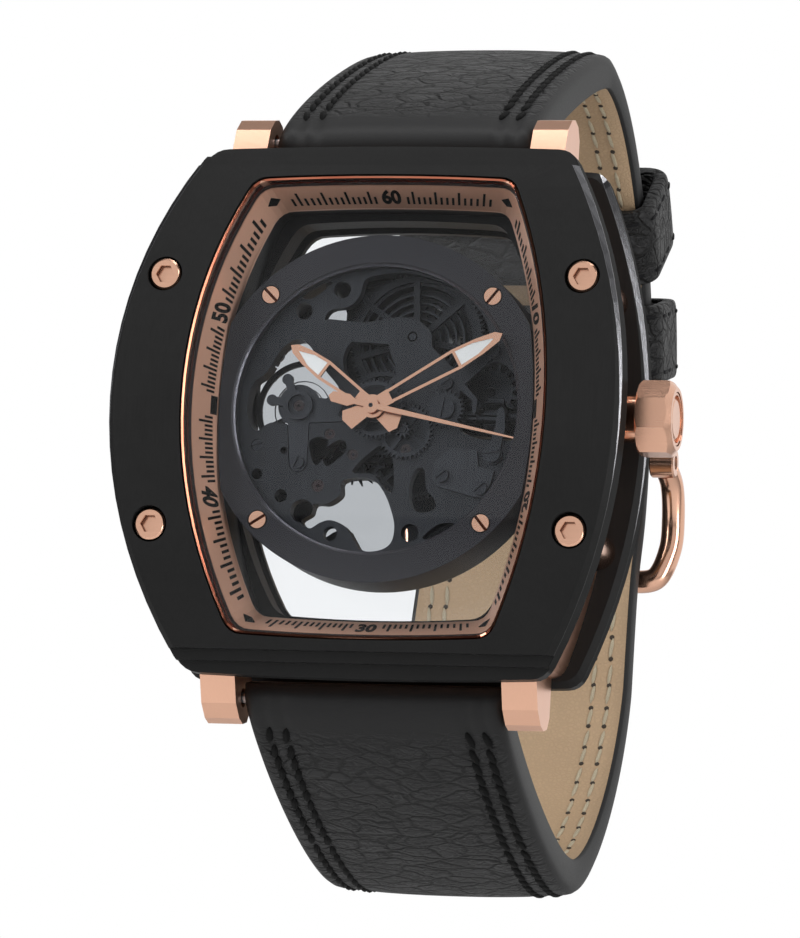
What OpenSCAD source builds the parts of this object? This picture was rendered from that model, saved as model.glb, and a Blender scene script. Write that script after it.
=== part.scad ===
// Skeleton wristwatch with a bowed barrel-shaped case, an open movement and a padded leather strap.
// The dial faces -Y, twelve o'clock is +Z and the crown is +X.
// The origin is the centre of the wrist opening.

/* [Case] */
// Thickness of the case from its back to the middle of the bezel
case_t = 14; // [13.8:0.1:15]
// Width of the bezel's window at the crown
window_w = 30.1; // [29.8:0.1:30.4]
// Height of the bezel's window
window_h = 37.4; // [37:0.1:37.8]
// Width of the bezel's frame beside the window, at the crown
bezel_side = 5.95; // [5.8:0.05:6.4]
// Width of the bezel's frame at its two ends
bezel_end = 2.8; // [2.6:0.1:3.2]
// Thickness of the bezel plate
bezel_t = 2.6; // [2.3:0.1:2.8]
// Radius to which the front of the case is bowed
bow_r = 58; // [54:1:64]
// Radius of the long sides of the bezel, seen from the front
bezel_side_r = 40.4; // [39:0.2:44]
// Width of the polished edge round the bezel
bezel_bevel = 0.45; // [0.3:0.05:0.6]
// Height of each step at the two ends of the bezel
end_step = 0.65; // [0.4:0.05:0.7]
// How far the middle case reaches past the window at the crown
middle_side = 3.25; // [3.05:0.05:3.5]
// How far the middle case reaches past the window at its two ends
middle_end = 1.8; // [1.7:0.05:1.9]
// How far the back plate stays behind the bezel's edge
back_step = 0.3; // [0:0.05:0.5]
// Thickness of the back plate
back_t = 2; // [1.8:0.1:2.1]
// How far the back window stays behind the front one at the crown
back_window_side = 2.05; // [1.9:0.05:2.2]
// How far the back window stays behind the front one at its two ends
back_window_end = 2.7; // [2.5:0.05:2.9]

/* [Lugs and screws] */
// Distance between the lugs, which is the width of the strap there
lug_gap = 22; // [21.6:0.1:22.4]
// Width of one lug
lug_w = 2.9; // [2.5:0.1:3.2]
// Distance from the end of the middle case to a spring bar
bar_gap = 2.4; // [2.2:0.05:2.6]
// Distance from a spring bar to the lug's tip
lug_tip = 2.1; // [1.9:0.05:2.4]
// Sideways distance of a bezel screw from the window's edge
screw_out = 2.15; // [2:0.05:2.3]
// Distance up or down of a bezel screw from the centre
screw_y = 10.2; // [9.8:0.1:10.6]
// Diameter of a bezel screw's head
screw_head_d = 2.55; // [2.3:0.05:2.7]

/* [Crown] */
// Height of the crown's axis above the back of the case
stem_z = 6.3; // [6.25:0.05:6.35]
// Width of the eight-sided crown across its corners
crown_d = 6.3; // [6:0.1:6.8]
// Length of the crown along its axis
crown_len = 2.9; // [2.6:0.1:3.2]
// Gap between the bezel's edge and the crown
crown_gap = 0.15; // [0.1:0.05:0.4]
// How far the crown pulls out to set the hands
crown_travel = 1; // [0.8:0.1:1]

/* [Dial side] */
// Diameter of the dial ring
dial_ring_d = 28.3; // [28.1:0.1:28.4]
// Diameter of the opening in the dial ring
dial_open_d = 23.3; // [23.1:0.1:23.5]
// Height of the dial ring's face above the back of the case
dial_z = 9.7; // [9.6:0.05:9.8]
// Room between the movement and the chapter ring's foot
flat_room = 0.55; // [0.5:0.05:0.6]
// Thickness of the front crystal
crystal_t = 1.1; // [0.9:0.1:1.2]
// Length of the hour hand
hour_len = 8.7; // [8.2:0.1:9.4]
// Length of the minute hand
minute_len = 12; // [11:0.1:12.6]
// Length of the seconds hand
seconds_len = 12.1; // [11:0.1:12.8]
// Hour angle of the hour hand, clockwise from twelve
hour_angle = 305; // [0:1:359]
// Angle of the minute hand, clockwise from twelve
minute_angle = 60; // [0:1:359]
// Angle of the seconds hand, clockwise from twelve
seconds_angle = 102; // [0:1:359]

/* [Movement] */
// Diameter of the movement
movement_d = 25; // [24.9:0.05:25.1]
// Pitch radius of the barrel's teeth
barrel_r = 5.53; // [5.5:0.01:5.56]
// Diameter of the balance wheel
balance_d = 8.2; // [8:0.1:8.3]
// Width of the mainspring's strip seen from the side of the barrel
mainspring_h = 1.1; // [0.9:0.05:1.2]
// Number of turns of the mainspring
mainspring_turns = 5; // [4:1:5]
// Number of turns of the hairspring
hairspring_turns = 4; // [3:1:4]

/* [Strap] */
// Depth of the wrist opening from the case back to the strap
wrist_depth = 45; // [44:0.1:46]
// Width of the strap at the buckle
strap_tip_w = 20; // [19.8:0.1:20.1]
// Thickness of the padded strap at the lugs
strap_t = 3.2; // [3:0.1:3.3]
// Thickness of the strap near the buckle
strap_tip_t = 2.3; // [2.1:0.05:2.4]
// Height of the padding in the middle of the strap
strap_pad = 0.45; // [0.2:0.05:0.6]
// Diameter of the buckle's rod
buckle_d = 2.1; // [1.9:0.1:2.2]
// Width of a strap keeper along the strap
keeper_w = 7; // [6:0.1:7.4]

/* [Hidden] */
$fn = 96;

black_steel = "#1c1c1e";
dark_steel = "#2b2b30";
rose_gold = "#d99a7c";
rose_deep = "#b4714f";
brass_dark = "#34343a";
leather = "#17171a";
lume = "#dfe3e4";
ruby = "#8c2138";
glass = [0.85, 0.9, 0.95, 0.35];
eps = 0.01;
through = 80;
fit = 0.05;

// Shapes seen from the front: half width, half height, radius of the long sides, crown of the ends.
window_side_r = 42.4;
middle_side_r = 62;
back_side_r = 50.5;
back_window_side_r = 30;
end_crown = 0.25;
corner_r = 1.1;
side_steps = 20;
end_steps = 8;
corner_steps = 4;

bezel_top = case_t;
bezel_w = window_w + 2 * bezel_side;
bezel_h = window_h + 2 * bezel_end;
middle_w = window_w + 2 * middle_side;
middle_h = window_h + 2 * middle_end;
back_w = bezel_w - 2 * back_step;
back_h = bezel_h - 2 * back_step;
back_window_w = window_w - 2 * back_window_side;
back_window_h = window_h - 2 * back_window_end;
bar_reach = middle_h / 2 + bar_gap;
lug_reach = bar_reach + lug_tip;
screw_x = window_w / 2 + screw_out;
chapter_in = (window_w - movement_d) / 2 - flat_room;
middle_top = case_t - bezel_t;
foot_w = 0.6;
rim_w = 0.3;
rim_drop = 0.15;
crystal_drop = 0.3;
seat_drop = crystal_drop + crystal_t + 0.15;
chapter_drop = 4.75;
bore_w = window_w + 2 * (foot_w + fit);
bore_h = window_h + 2 * (foot_w + fit);
holder_z = 4.5;
shelf_w = 0.5;

// Heights inside the movement, above the back of the case.
plate_top = dial_z - 1.1;
plate_t = 1;
plate_z = plate_top - plate_t;
bridge_z = 2.8;
bridge_t = 1.2;
train_z = bridge_z + bridge_t;
movement_r = movement_d / 2;
rim_wall = 0.7;

// Places of the wheels, seen from the front.
centre = [0, 0];
barrel_angle = 67.6;
centre_pinion_r = 1.035;
barrel_at = (barrel_r + centre_pinion_r) * [cos(barrel_angle), sin(barrel_angle)];
balance_at = [-6.6, 0.33];
third_angle = -52;
third_d = 3.96;
third_at = third_d * [cos(third_angle), sin(third_angle)];
escape_at = [-1.9, -3.6];
escape_r = 2.1;
pallet_at = [-3.9, -1.95];
minute_wheel_angle = -35.3;
motion_d = 2.95;
minute_wheel_at = motion_d * [cos(minute_wheel_angle), sin(minute_wheel_angle)];
setting_angle = 30.2;
crown_wheel_angle = -33;
click_angle = 140;
yoke_at = [9.3, 4.9];
lever_at = [9.7, -3.5];

// Teeth: each pair shares one centre distance, so its module follows from the two counts.
centre_teeth = 64;
third_pinion_teeth = 8;
third_teeth = 60;
fourth_pinion_teeth = 8;
fourth_teeth = 80;
escape_pinion_teeth = 8;
escape_teeth = 15;
barrel_teeth = 80;
centre_pinion_teeth = 15;
cannon_teeth = 12;
minute_teeth = 36;
minute_pinion_teeth = 10;
hour_teeth = 40;
setting_teeth = 24;
ratchet_teeth = 38;
crown_wheel_teeth = 17;
winding_teeth = 10;
ratchet_module = 0.25;
function pair_module(d, a, b) = 2 * d / (a + b);
// Turn of a gear that meshes, in the direction a, with a gear that has another turn.
function mesh_turn(a, turn, teeth, own_teeth) =
  a + 180 - (0.5 - (a - turn) * teeth / 360) * 360 / own_teeth;
function angle_to(a, b) = atan2(b[1] - a[1], b[0] - a[0]);
barrel_module = pair_module(barrel_r + centre_pinion_r, barrel_teeth, centre_pinion_teeth);
centre_module = pair_module(third_d, centre_teeth, third_pinion_teeth);
third_module = pair_module(third_d, third_teeth, fourth_pinion_teeth);
fourth_module = pair_module(norm(escape_at), fourth_teeth, escape_pinion_teeth);
motion_module = pair_module(motion_d, cannon_teeth, minute_teeth);
hour_module = pair_module(motion_d, minute_pinion_teeth, hour_teeth);
setting_d = motion_module * (minute_teeth + setting_teeth) / 2;
setting_at = minute_wheel_at + setting_d * [cos(setting_angle), sin(setting_angle)];
ratchet_d = ratchet_module * (ratchet_teeth + crown_wheel_teeth) / 2;
click_d = 6;
click_at = barrel_at + click_d * [cos(click_angle), sin(click_angle)];
crown_wheel_at = barrel_at + ratchet_d * [cos(crown_wheel_angle), sin(crown_wheel_angle)];

// Levels of the wheels.
fourth_z = train_z + 0.1;
ratchet_z = train_z + 0.45;
barrel_z = train_z + 0.85;
third_z = train_z + 1.2;
escape_z = train_z + 1.6;
balance_z = train_z + 2.25;
flange_z = train_z + 2.65;
barrel_top = train_z + 3.05;
centre_z = train_z + 3.15;
wheel_t = 0.2;
minute_z = plate_top + 0.1;
hour_wheel_z = plate_top + 0.8;
hour_z = 9.95;
minute_hand_z = 10.4;
seconds_z = 10.9;
hand_t = 0.2;
arbor_r = 0.2;

// Strap route in the plane of Y and Z: curves from the spring bars round the wrist.
case_y = -wrist_depth / 2;
bar_z = 4.2;
bar_y = case_y - bar_z;
back_reach = wrist_depth / 2 + 2.4;
apex = 35.8;
low_apex = 33.5;
upper_route = [
  [[bar_y - 0.6, bar_reach - 1.1], [bar_y + 2.1, bar_reach + 2.9], [-2.5, apex + 0.1], [2, apex]],
  [[2, apex], [13.5, apex - 0.5], [back_reach - 0.1, 22.5], [back_reach, 11]],
  [[back_reach, 11], [back_reach, 9], [back_reach + 0.3, 7.5], [back_reach + 0.3, 4.6]]
];
lower_route = [
  [[bar_y - 0.6, -bar_reach + 1.1], [bar_y + 2.1, -bar_reach - 2.9], [-6, -low_apex - 0.4], [2.5, -low_apex]],
  [[2.5, -low_apex], [10.5, -low_apex + 0.1], [back_reach - 4.1, -24], [back_reach - 1.7, -15]],
  [[back_reach - 1.7, -15], [back_reach - 1.1, -11.5], [back_reach - 0.6, -8], [back_reach + 0.2, -5]],
  [[back_reach + 0.2, -5], [back_reach + 1.2, -1.7], [back_reach + 3.4, 0.5], [back_reach + 3.5, 5]],
  [[back_reach + 3.5, 5], [back_reach + 3.8, 11], [back_reach + 3.7, 18.8], [back_reach - 3.5, 28.3]]
];
curve_steps = 12;
buckle_at = [back_reach + 0.3, 6];
crossbar_at = [back_reach + 3.9, -4.2];

function bow(y) = bow_r - sqrt(bow_r * bow_r - y * y);
function side_x(w, r, y) = w - r + sqrt(r * r - y * y);

// Barrel-shaped outline, counter-clockwise: side arc, rounded corner and slightly bowed end, four times.
function corner_curve(a, b, c) = [
  for (i = [1 : corner_steps - 1])
    let (t = i / corner_steps)
      (1 - t) * (1 - t) * a + 2 * t * (1 - t) * b + t * t * c
];
function tonneau(width, height, side_r, inset = 0, round = corner_r) =
  let (
    w = width / 2 - inset,
    h = height / 2 - inset,
    r = side_r - inset,
    cx = side_x(w, r, h),
    ey = h - round,
    ex = cx - round
  )
  [
    for (i = [0 : side_steps]) let (y = -ey + 2 * ey * i / side_steps) [side_x(w, r, y), y],
    each corner_curve([side_x(w, r, ey), ey], [cx, h], [ex, h]),
    for (i = [0 : end_steps]) let (x = ex - 2 * ex * i / end_steps) [x, h + end_crown * (1 - pow(x / ex, 2))],
    each corner_curve([-ex, h], [-cx, h], [-side_x(w, r, ey), ey]),
    for (i = [0 : side_steps]) let (y = ey - 2 * ey * i / side_steps) [-side_x(w, r, y), y],
    each corner_curve([-side_x(w, r, ey), -ey], [-cx, -h], [-ex, -h]),
    for (i = [0 : end_steps]) let (x = -ex + 2 * ex * i / end_steps) [x, -h - end_crown * (1 - pow(x / ex, 2))],
    each corner_curve([ex, -h], [cx, -h], [side_x(w, r, ey), -ey])
  ];
function window_outline(inset) = tonneau(window_w, window_h, window_side_r, inset);
function bowed(outline, z) = [for (p = outline) [p[0], p[1], z - bow(p[1])]];
function flat(outline, z) = [for (p = outline) [p[0], p[1], z]];

// Turns the watch so that its local z, measured from the case back, points to the front.
module watch() {
  translate([0, case_y, 0]) rotate([90, 0, 0]) children();
}
module at(p, z = 0) {
  translate([p[0], p[1], z]) children();
}
module four(x, y) {
  for (sx = [-1, 1])
    for (sy = [-1, 1])
      translate([sx * x, sy * y, 0]) children();
}
module prism(outline, z, t) {
  translate([0, 0, z]) linear_extrude(t) polygon(outline);
}
module along_x(x0, w) {
  translate([x0, 0, 0]) rotate([90, 0, 90]) linear_extrude(w) children();
}
module on_stem(x0) {
  translate([x0, 0, stem_z]) rotate([0, 90, 0]) children();
}
// Everything below the bowed surface whose middle is at height z.
module under_bow(z) {
  translate([0, 0, z - bow_r]) rotate([0, 90, 0]) cylinder(r = bow_r, h = through, center = true, $fn = 360);
}
// Closed ring whose section runs through the given outlines in order.
module ring_loft(rings) {
  n = len(rings[0]);
  k = len(rings);
  polyhedron(
    points = [for (r = rings) each r],
    faces = [
      for (i = [0 : k - 1])
        for (j = [0 : n - 1])
          let (a = i * n, b = (i + 1) % k * n, q = (j + 1) % n)
            each [[a + j, b + j, b + q], [a + j, b + q, a + q]]
    ]
  );
}
// Solid swept through a row of sections and capped at both ends.
module sweep(rings) {
  n = len(rings[0]);
  k = len(rings);
  polyhedron(
    points = [for (r = rings) each r],
    faces = [
      [for (j = [0 : n - 1]) j],
      [for (j = [0 : n - 1]) k * n - 1 - j],
      for (i = [0 : k - 2])
        for (j = [0 : n - 1])
          let (a = i * n, b = a + n, q = (j + 1) % n)
            each [[a + j, b + j, b + q], [a + j, b + q, a + q]]
    ]
  );
}

// Tooth outline with slack flanks: root, flank, tip, flank.
function gear_points(m, teeth) =
  let (r = m * teeth / 2, tip = r + 0.9 * m, root = r - 1.25 * m, pitch = 360 / teeth)
    [
      for (i = [0 : teeth - 1])
        for (v = [[-0.27, root], [-0.1, tip], [0.1, tip], [0.27, root]])
          (v[1]) * [cos((i + v[0]) * pitch), sin((i + v[0]) * pitch)]
    ];
module gear(m, teeth, t, turn = 0) {
  rotate(turn) linear_extrude(t) polygon(gear_points(m, teeth));
}
// Wheel with a toothed rim, straight spokes and a hub.
module spoked(m, teeth, t, turn, spokes, rim, hub_r, spoke_w, bore_r) {
  inner = m * teeth / 2 - 1.25 * m - rim;
  difference() {
    gear(m, teeth, t, turn);
    difference() {
      translate([0, 0, -eps]) cylinder(r = inner, h = t + 2 * eps);
      translate([0, 0, -1]) cylinder(r = hub_r, h = t + 2);
      for (i = [0 : spokes - 1])
        rotate(turn + i * 360 / spokes) translate([0, -spoke_w / 2, -1]) cube([inner + 1, spoke_w, t + 2]);
    }
    translate([0, 0, -1]) cylinder(r = bore_r, h = t + 2);
  }
}
module arbor(z0, z1, r = arbor_r) {
  translate([0, 0, z0]) cylinder(r = r, h = z1 - z0);
}
// Flat spiral strip.
function spiral(r0, r1, turns, t, step = 15) =
  let (n = turns * 360 / step)
    [
      for (i = [0 : n]) let (r = r0 + (r1 - r0) * i / n) r * [cos(i * step), sin(i * step)],
      for (i = [n : -1 : 0]) let (r = r0 + (r1 - r0) * i / n + t) r * [cos(i * step), sin(i * step)]
    ];
// Rounded bar between two points, as a flat shape.
module bar(a, b, ra, rb = 0) {
  r2 = rb > 0 ? rb : ra;
  hull() {
    translate(a) circle(r = ra, $fn = 32);
    translate(b) circle(r = r2, $fn = 32);
  }
}
// Smooth closed outline through a few hand-set points.
function smooth_closed(p, steps = 5) =
  let (n = len(p))
    [
      for (i = [0 : n - 1])
        let (a = p[(i + n - 1) % n], b = p[i], c = p[(i + 1) % n], d = p[(i + 2) % n])
          for (k = [0 : steps - 1])
            let (t = k / steps)
              0.5 * (2 * b + (c - a) * t + (2 * a - 5 * b + 4 * c - d) * t * t + (3 * b - a - 3 * c + d) * t * t * t)
    ];

// Case

module bezel_window() {
  ring = [[0, -bezel_t], [0, -bezel_bevel], [bezel_bevel, 0]];
  outer = [
    for (v = ring) bowed(tonneau(bezel_w, bezel_h, bezel_side_r, v[0]), bezel_top + v[1])
  ];
  ring_loft(concat(outer, [bowed(window_outline(0), bezel_top), bowed(window_outline(0), bezel_top - bezel_t)]));
}
step_reach = [1.7, 0.85];
module end_steps_cut() {
  for (k = [0, 1])
    for (s = [-1, 1])
      difference() {
        translate([-through / 2, s > 0 ? bezel_h / 2 - step_reach[k] : -bezel_h / 2 + step_reach[k] - 10, 0])
          cube([through, 10, through]);
        under_bow(bezel_top - (k + 1) * end_step);
      }
}
counterbore_r = screw_head_d / 2 + 0.17;
screw_shank_r = 0.8;
head_h = 0.9;
screw_top = bezel_top - bow(screw_y) - 0.12;
module bezel() {
  color(black_steel) watch() difference() {
    bezel_window();
    end_steps_cut();
    four(screw_x, screw_y) {
      translate([0, 0, screw_top - head_h]) cylinder(r = counterbore_r, h = head_h + 2);
      cylinder(r = screw_shank_r + fit, h = through);
    }
  }
}
socket_r = 0.78;
module cap_screw(r, z_top, h, shank_r, z_bottom, socket) {
  difference() {
    union() {
      translate([0, 0, z_top - h]) cylinder(r = r, h = h - 0.15);
      translate([0, 0, z_top - 0.15]) cylinder(r1 = r, r2 = r - 0.15, h = 0.15);
      translate([0, 0, z_bottom]) cylinder(r = shank_r, h = z_top - h - z_bottom + eps);
    }
    translate([0, 0, z_top - h * 0.6]) cylinder(r = socket, h = h, $fn = 6);
  }
}
pillar_top = middle_top - bow(screw_y) - 0.35;
pillar_r = 1.4;
screw_depth = 4;
module bezel_screws() {
  color(rose_gold) watch() four(screw_x, screw_y)
    cap_screw(screw_head_d / 2, screw_top, head_h, screw_shank_r, pillar_top - screw_depth, socket_r);
}
module case_pillars() {
  color(rose_deep) watch() four(screw_x, screw_y) difference() {
    translate([0, 0, back_t]) cylinder(r = pillar_r, h = pillar_top - back_t);
    translate([0, 0, -1]) cylinder(r = screw_shank_r + fit, h = through);
  }
}
back_screw_r = 1.15;
back_head_h = 0.7;
back_screw_end = 4.6;
module case_back_screws() {
  color(rose_gold) watch() four(screw_x, screw_y) difference() {
    union() {
      translate([0, 0, 0.1]) cylinder(r = back_screw_r, h = back_head_h);
      translate([0, 0, 0.1]) cylinder(r = screw_shank_r, h = back_screw_end);
    }
    translate([0, 0, -0.3]) cylinder(r = socket_r, h = 0.8, $fn = 6);
  }
}
lug_profile = [
  [lug_reach - 10, back_t], [lug_reach - 1.3, back_t], [lug_reach - 0.3, back_t + 0.7],
  [lug_reach, back_t + 1.9], [lug_reach - 0.3, back_t + 3], [lug_reach - 1.6, back_t + 4.6],
  [lug_reach - 3.4, back_t + 5.6], [lug_reach - 10, back_t + 6.4]
];
module lugs() {
  for (s = [0, 1])
    mirror([0, s, 0])
      for (x = [-lug_gap / 2 - lug_w, lug_gap / 2])
        along_x(x, lug_w) polygon(lug_profile);
}
tube_r = 1.92;
spring_bar_r = 0.75;
module middle_case() {
  color(rose_gold) watch() difference() {
    intersection() {
      union() {
        prism(tonneau(middle_w, middle_h, middle_side_r), back_t, case_t);
        lugs();
      }
      under_bow(middle_top - 0.06);
    }
    prism(tonneau(bore_w, bore_h, window_side_r + foot_w), -1, through);
    four(screw_x, screw_y) cylinder(r = pillar_r + 0.12, h = through);
    on_stem(10) cylinder(r = tube_r + 0.02, h = 20);
    for (s = [-1, 1])
      translate([-lug_gap / 2 - 1.6, s * bar_reach, bar_z]) rotate([0, 90, 0])
        cylinder(r = spring_bar_r + fit, h = lug_gap + 3.2);
  }
}
module chapter_ring() {
  section = [
    [-foot_w, -bezel_t - 0.55], [-foot_w, -bezel_t - 0.06], [0.05, -bezel_t - 0.06], [0.05, -rim_drop - 0.1],
    [0.15, -rim_drop], [rim_w, -rim_drop - 0.12], [rim_w, -seat_drop], [rim_w + 0.35, -seat_drop],
    [chapter_in, -chapter_drop + 0.35], [chapter_in, -chapter_drop], [chapter_in - 0.5, -chapter_drop]
  ];
  color(rose_gold) watch()
    ring_loft([for (v = section) bowed(window_outline(v[0]), bezel_top + v[1])]);
}
module front_crystal() {
  color(glass) watch() difference() {
    intersection() {
      prism(window_outline(rim_w + fit), 0, through);
      under_bow(bezel_top - crystal_drop);
    }
    under_bow(bezel_top - crystal_drop - crystal_t);
  }
}
gasket_w = 0.5;
module case_gaskets() {
  color(black_steel) watch() {
    intersection() {
      difference() {
        prism(window_outline(rim_w + fit), 0, through);
        prism(window_outline(rim_w + 0.3), -1, through + 2);
        under_bow(bezel_top - seat_drop + 0.02);
      }
      under_bow(bezel_top - crystal_drop - crystal_t - 0.02);
    }
    difference() {
      prism(tonneau(bore_w, bore_h, window_side_r + foot_w, -0.35 - gasket_w), back_t - 0.45, 0.45);
      prism(tonneau(bore_w, bore_h, window_side_r + foot_w, -0.35), 0, through);
    }
  }
}
back_bevel = 0.5;
glass_seat = 0.6;
module back_plate() {
  outer = [[0, 0.35], [0, back_t - back_bevel], [back_bevel, back_t]];
  color(black_steel) watch() difference() {
    ring_loft(concat(
      [flat(tonneau(back_w, back_h, back_side_r, 0.35), 0)],
      [for (v = outer) flat(tonneau(back_w, back_h, back_side_r, v[0]), v[1])],
      [flat(tonneau(back_window_w, back_window_h, back_window_side_r), back_t)],
      [flat(tonneau(back_window_w, back_window_h, back_window_side_r), 0)]
    ));
    prism(tonneau(back_window_w, back_window_h, back_window_side_r, -glass_seat), 0.7, through);
    four(screw_x, screw_y) {
      translate([0, 0, -1]) cylinder(r = back_screw_r + 0.1, h = 1.1 + back_head_h);
      cylinder(r = screw_shank_r + fit, h = through);
    }
    difference() {
      prism(tonneau(bore_w, bore_h, window_side_r + foot_w, -0.37 - gasket_w), back_t - 0.45, 1);
      prism(tonneau(bore_w, bore_h, window_side_r + foot_w, -0.33), 0, through);
    }
  }
}
module back_crystal() {
  color(glass) watch()
    prism(tonneau(back_window_w, back_window_h, back_window_side_r, -glass_seat + fit), 0.7, 1.1);
}
ring_flat = window_w - 2 * chapter_in - 0.2;
module movement_holder() {
  color(black_steel) watch() difference() {
    intersection() {
      prism(tonneau(bore_w, bore_h, window_side_r + foot_w, fit), back_t, case_t);
      under_bow(bezel_top - chapter_drop - 0.1);
    }
    difference() {
      prism(tonneau(ring_flat + 0.3, window_h - 2 * chapter_in + 0.2, window_side_r), holder_z, through);
    }
    difference() {
      prism(tonneau(back_window_w, back_window_h, back_window_side_r, -0.2), -1, through);
      for (s = [-1, 1])
        translate([s * (ring_flat / 2 - 0.5), 0, (back_t + holder_z) / 2])
          cube([1.4, 11, holder_z - back_t], center = true);
    }
    translate([0, 0, holder_z]) cylinder(r = dial_ring_d / 2 + 0.08, h = through);
    translate([0, 0, bridge_z - 0.02]) cylinder(r = movement_r + 0.04, h = through);
    on_stem(10) cylinder(r = 1.3, h = 20);
  }
}
module crown_tube() {
  color(rose_gold) watch() on_stem(bore_w / 2 + 0.3) difference() {
    cylinder(r = tube_r, h = bezel_w / 2 - bore_w / 2 - 0.35);
    translate([0, 0, -1]) cylinder(r = 1.15, h = 20);
  }
}
module spring_bars() {
  color("silver") watch() for (s = [-1, 1])
    translate([0, s * bar_reach, bar_z]) rotate([0, 90, 0]) {
      cylinder(r = spring_bar_r, h = lug_gap - 1.2, center = true);
      cylinder(r = 0.45, h = lug_gap + 2.6, center = true);
    }
}

// Dial side

ring_screw = 9.2;
ring_screw_r = 0.7;
module ring_outline(inset) {
  intersection() {
    circle(r = dial_ring_d / 2 - inset);
    polygon(tonneau(ring_flat, window_h, window_side_r, inset));
  }
}
face_t = 0.8;
module dial_ring() {
  color(dark_steel) watch() difference() {
    translate([0, 0, holder_z]) linear_extrude(dial_z - holder_z) ring_outline(0);
    translate([0, 0, holder_z - 1]) cylinder(r = movement_r + 0.04, h = plate_top - holder_z + 1);
    cylinder(r = dial_open_d / 2, h = through);
    translate([0, 0, dial_z - 0.25]) cylinder(r1 = dial_open_d / 2, r2 = dial_open_d / 2 + 0.3, h = 0.26);
    four(ring_screw, ring_screw) {
      translate([0, 0, dial_z - 0.35]) cylinder(r = ring_screw_r + 0.1, h = 1);
      translate([0, 0, dial_z - 2.2]) cylinder(r = 0.45, h = 3);
    }
    on_stem(5) cylinder(r = 1.3, h = 20);
  }
}
module slotted_screw(r, z, head, shank_r, depth, turn) {
  difference() {
    union() {
      translate([0, 0, z - head]) cylinder(r = r, h = head);
      translate([0, 0, z - head - depth]) cylinder(r = shank_r, h = depth + eps);
    }
    rotate(turn) translate([0, 0, z]) cube([2 * r + 1, 0.24, 0.36], center = true);
  }
}
module dial_ring_screws() {
  color(rose_gold) watch() for (v = [[-1, 1, -45], [1, 1, 52], [-1, -1, 33], [1, -1, -50]])
    translate([v[0] * ring_screw, v[1] * ring_screw, 0]) slotted_screw(ring_screw_r, dial_z + 0.02, 0.36, 0.42, 1.4, v[2]);
}

// Hands: a tapering frame with an open middle and a filled end.
function hand_outline(len, hub_w, wide, wide_at, tip_w) = [
  [0, -hub_w / 2], [wide_at, -wide / 2], [wide_at + (len - wide_at) * 0.5, -wide * 0.4],
  [len - 0.5, -tip_w], [len, 0], [len - 0.5, tip_w], [wide_at + (len - wide_at) * 0.5, wide * 0.4],
  [wide_at, wide / 2], [0, hub_w / 2]
];
rail = 0.24;
hand_w = 1.75;
hub_r = 0.95;
tail_len = 2.3;
module hand_frame(len, fill_at) {
  difference() {
    polygon(hand_outline(len, 1, hand_w, fill_at, 0.42));
    polygon(hand_outline(len - 0.8, 1 - 2 * rail, hand_w - 2 * rail, fill_at, 0.18));
  }
  translate([fill_at - rail / 2, -hand_w / 2 + 0.1]) square([rail, hand_w - 0.2]);
}
module hand(len, fill_at, z, bore) {
  translate([0, 0, z]) linear_extrude(hand_t) difference() {
    union() {
      difference() {
        hand_frame(len, fill_at);
        circle(r = hub_r);
      }
      circle(r = hub_r);
      polygon([[0, -0.55], [1.7, -0.62], [1.7, 0.62], [0, 0.55]]);
      polygon([[0, -0.45], [0, 0.45], [-tail_len, 0.85], [-tail_len - 0.35, 0.2], [-tail_len, -0.85]]);
    }
    circle(r = bore);
  }
}
module hand_fill(len, fill_at, z) {
  translate([0, 0, z]) linear_extrude(hand_t - 0.05) intersection() {
    polygon(hand_outline(len - 0.8, 1 - 2 * rail, hand_w - 2 * rail, fill_at, 0.18));
    translate([fill_at + rail / 2, -2]) square([len, 4]);
  }
}
hour_bore = 0.88;
minute_bore = 0.56;
module hour_hand() {
  color(rose_gold) watch() rotate(90 - hour_angle) hand(hour_len, hour_len * 0.6, hour_z, hour_bore - 0.02);
}
module hour_lume() {
  color(lume) watch() rotate(90 - hour_angle) hand_fill(hour_len, hour_len * 0.6, hour_z + 0.02);
}
module minute_hand() {
  color(rose_gold) watch() rotate(90 - minute_angle)
    hand(minute_len, minute_len * 0.65, minute_hand_z, minute_bore - 0.02);
}
module minute_lume() {
  color(lume) watch() rotate(90 - minute_angle) hand_fill(minute_len, minute_len * 0.65, minute_hand_z + 0.02);
}
seconds_tail = 3.6;
module seconds_hand() {
  color(rose_gold) watch() rotate(90 - seconds_angle) {
    translate([0, 0, seconds_z]) linear_extrude(0.15) difference() {
      union() {
        polygon([[0, -0.24], [seconds_len, -0.07], [seconds_len, 0.07], [0, 0.24]]);
        circle(r = 0.62);
        polygon([
          [0, -0.2], [0, 0.2], [-1.4, 0.22], [-1.9, 0.5], [-seconds_tail + 0.3, 0.42], [-seconds_tail, 0],
          [-seconds_tail + 0.3, -0.42], [-1.9, -0.5], [-1.4, -0.22]
        ]);
      }
      circle(r = arbor_r - 0.02);
    }
    translate([0, 0, seconds_z - 0.3]) difference() {
      cylinder(r = 0.4, h = 0.3);
      translate([0, 0, -1]) cylinder(r = arbor_r - 0.02, h = 3);
    }
  }
}

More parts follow.
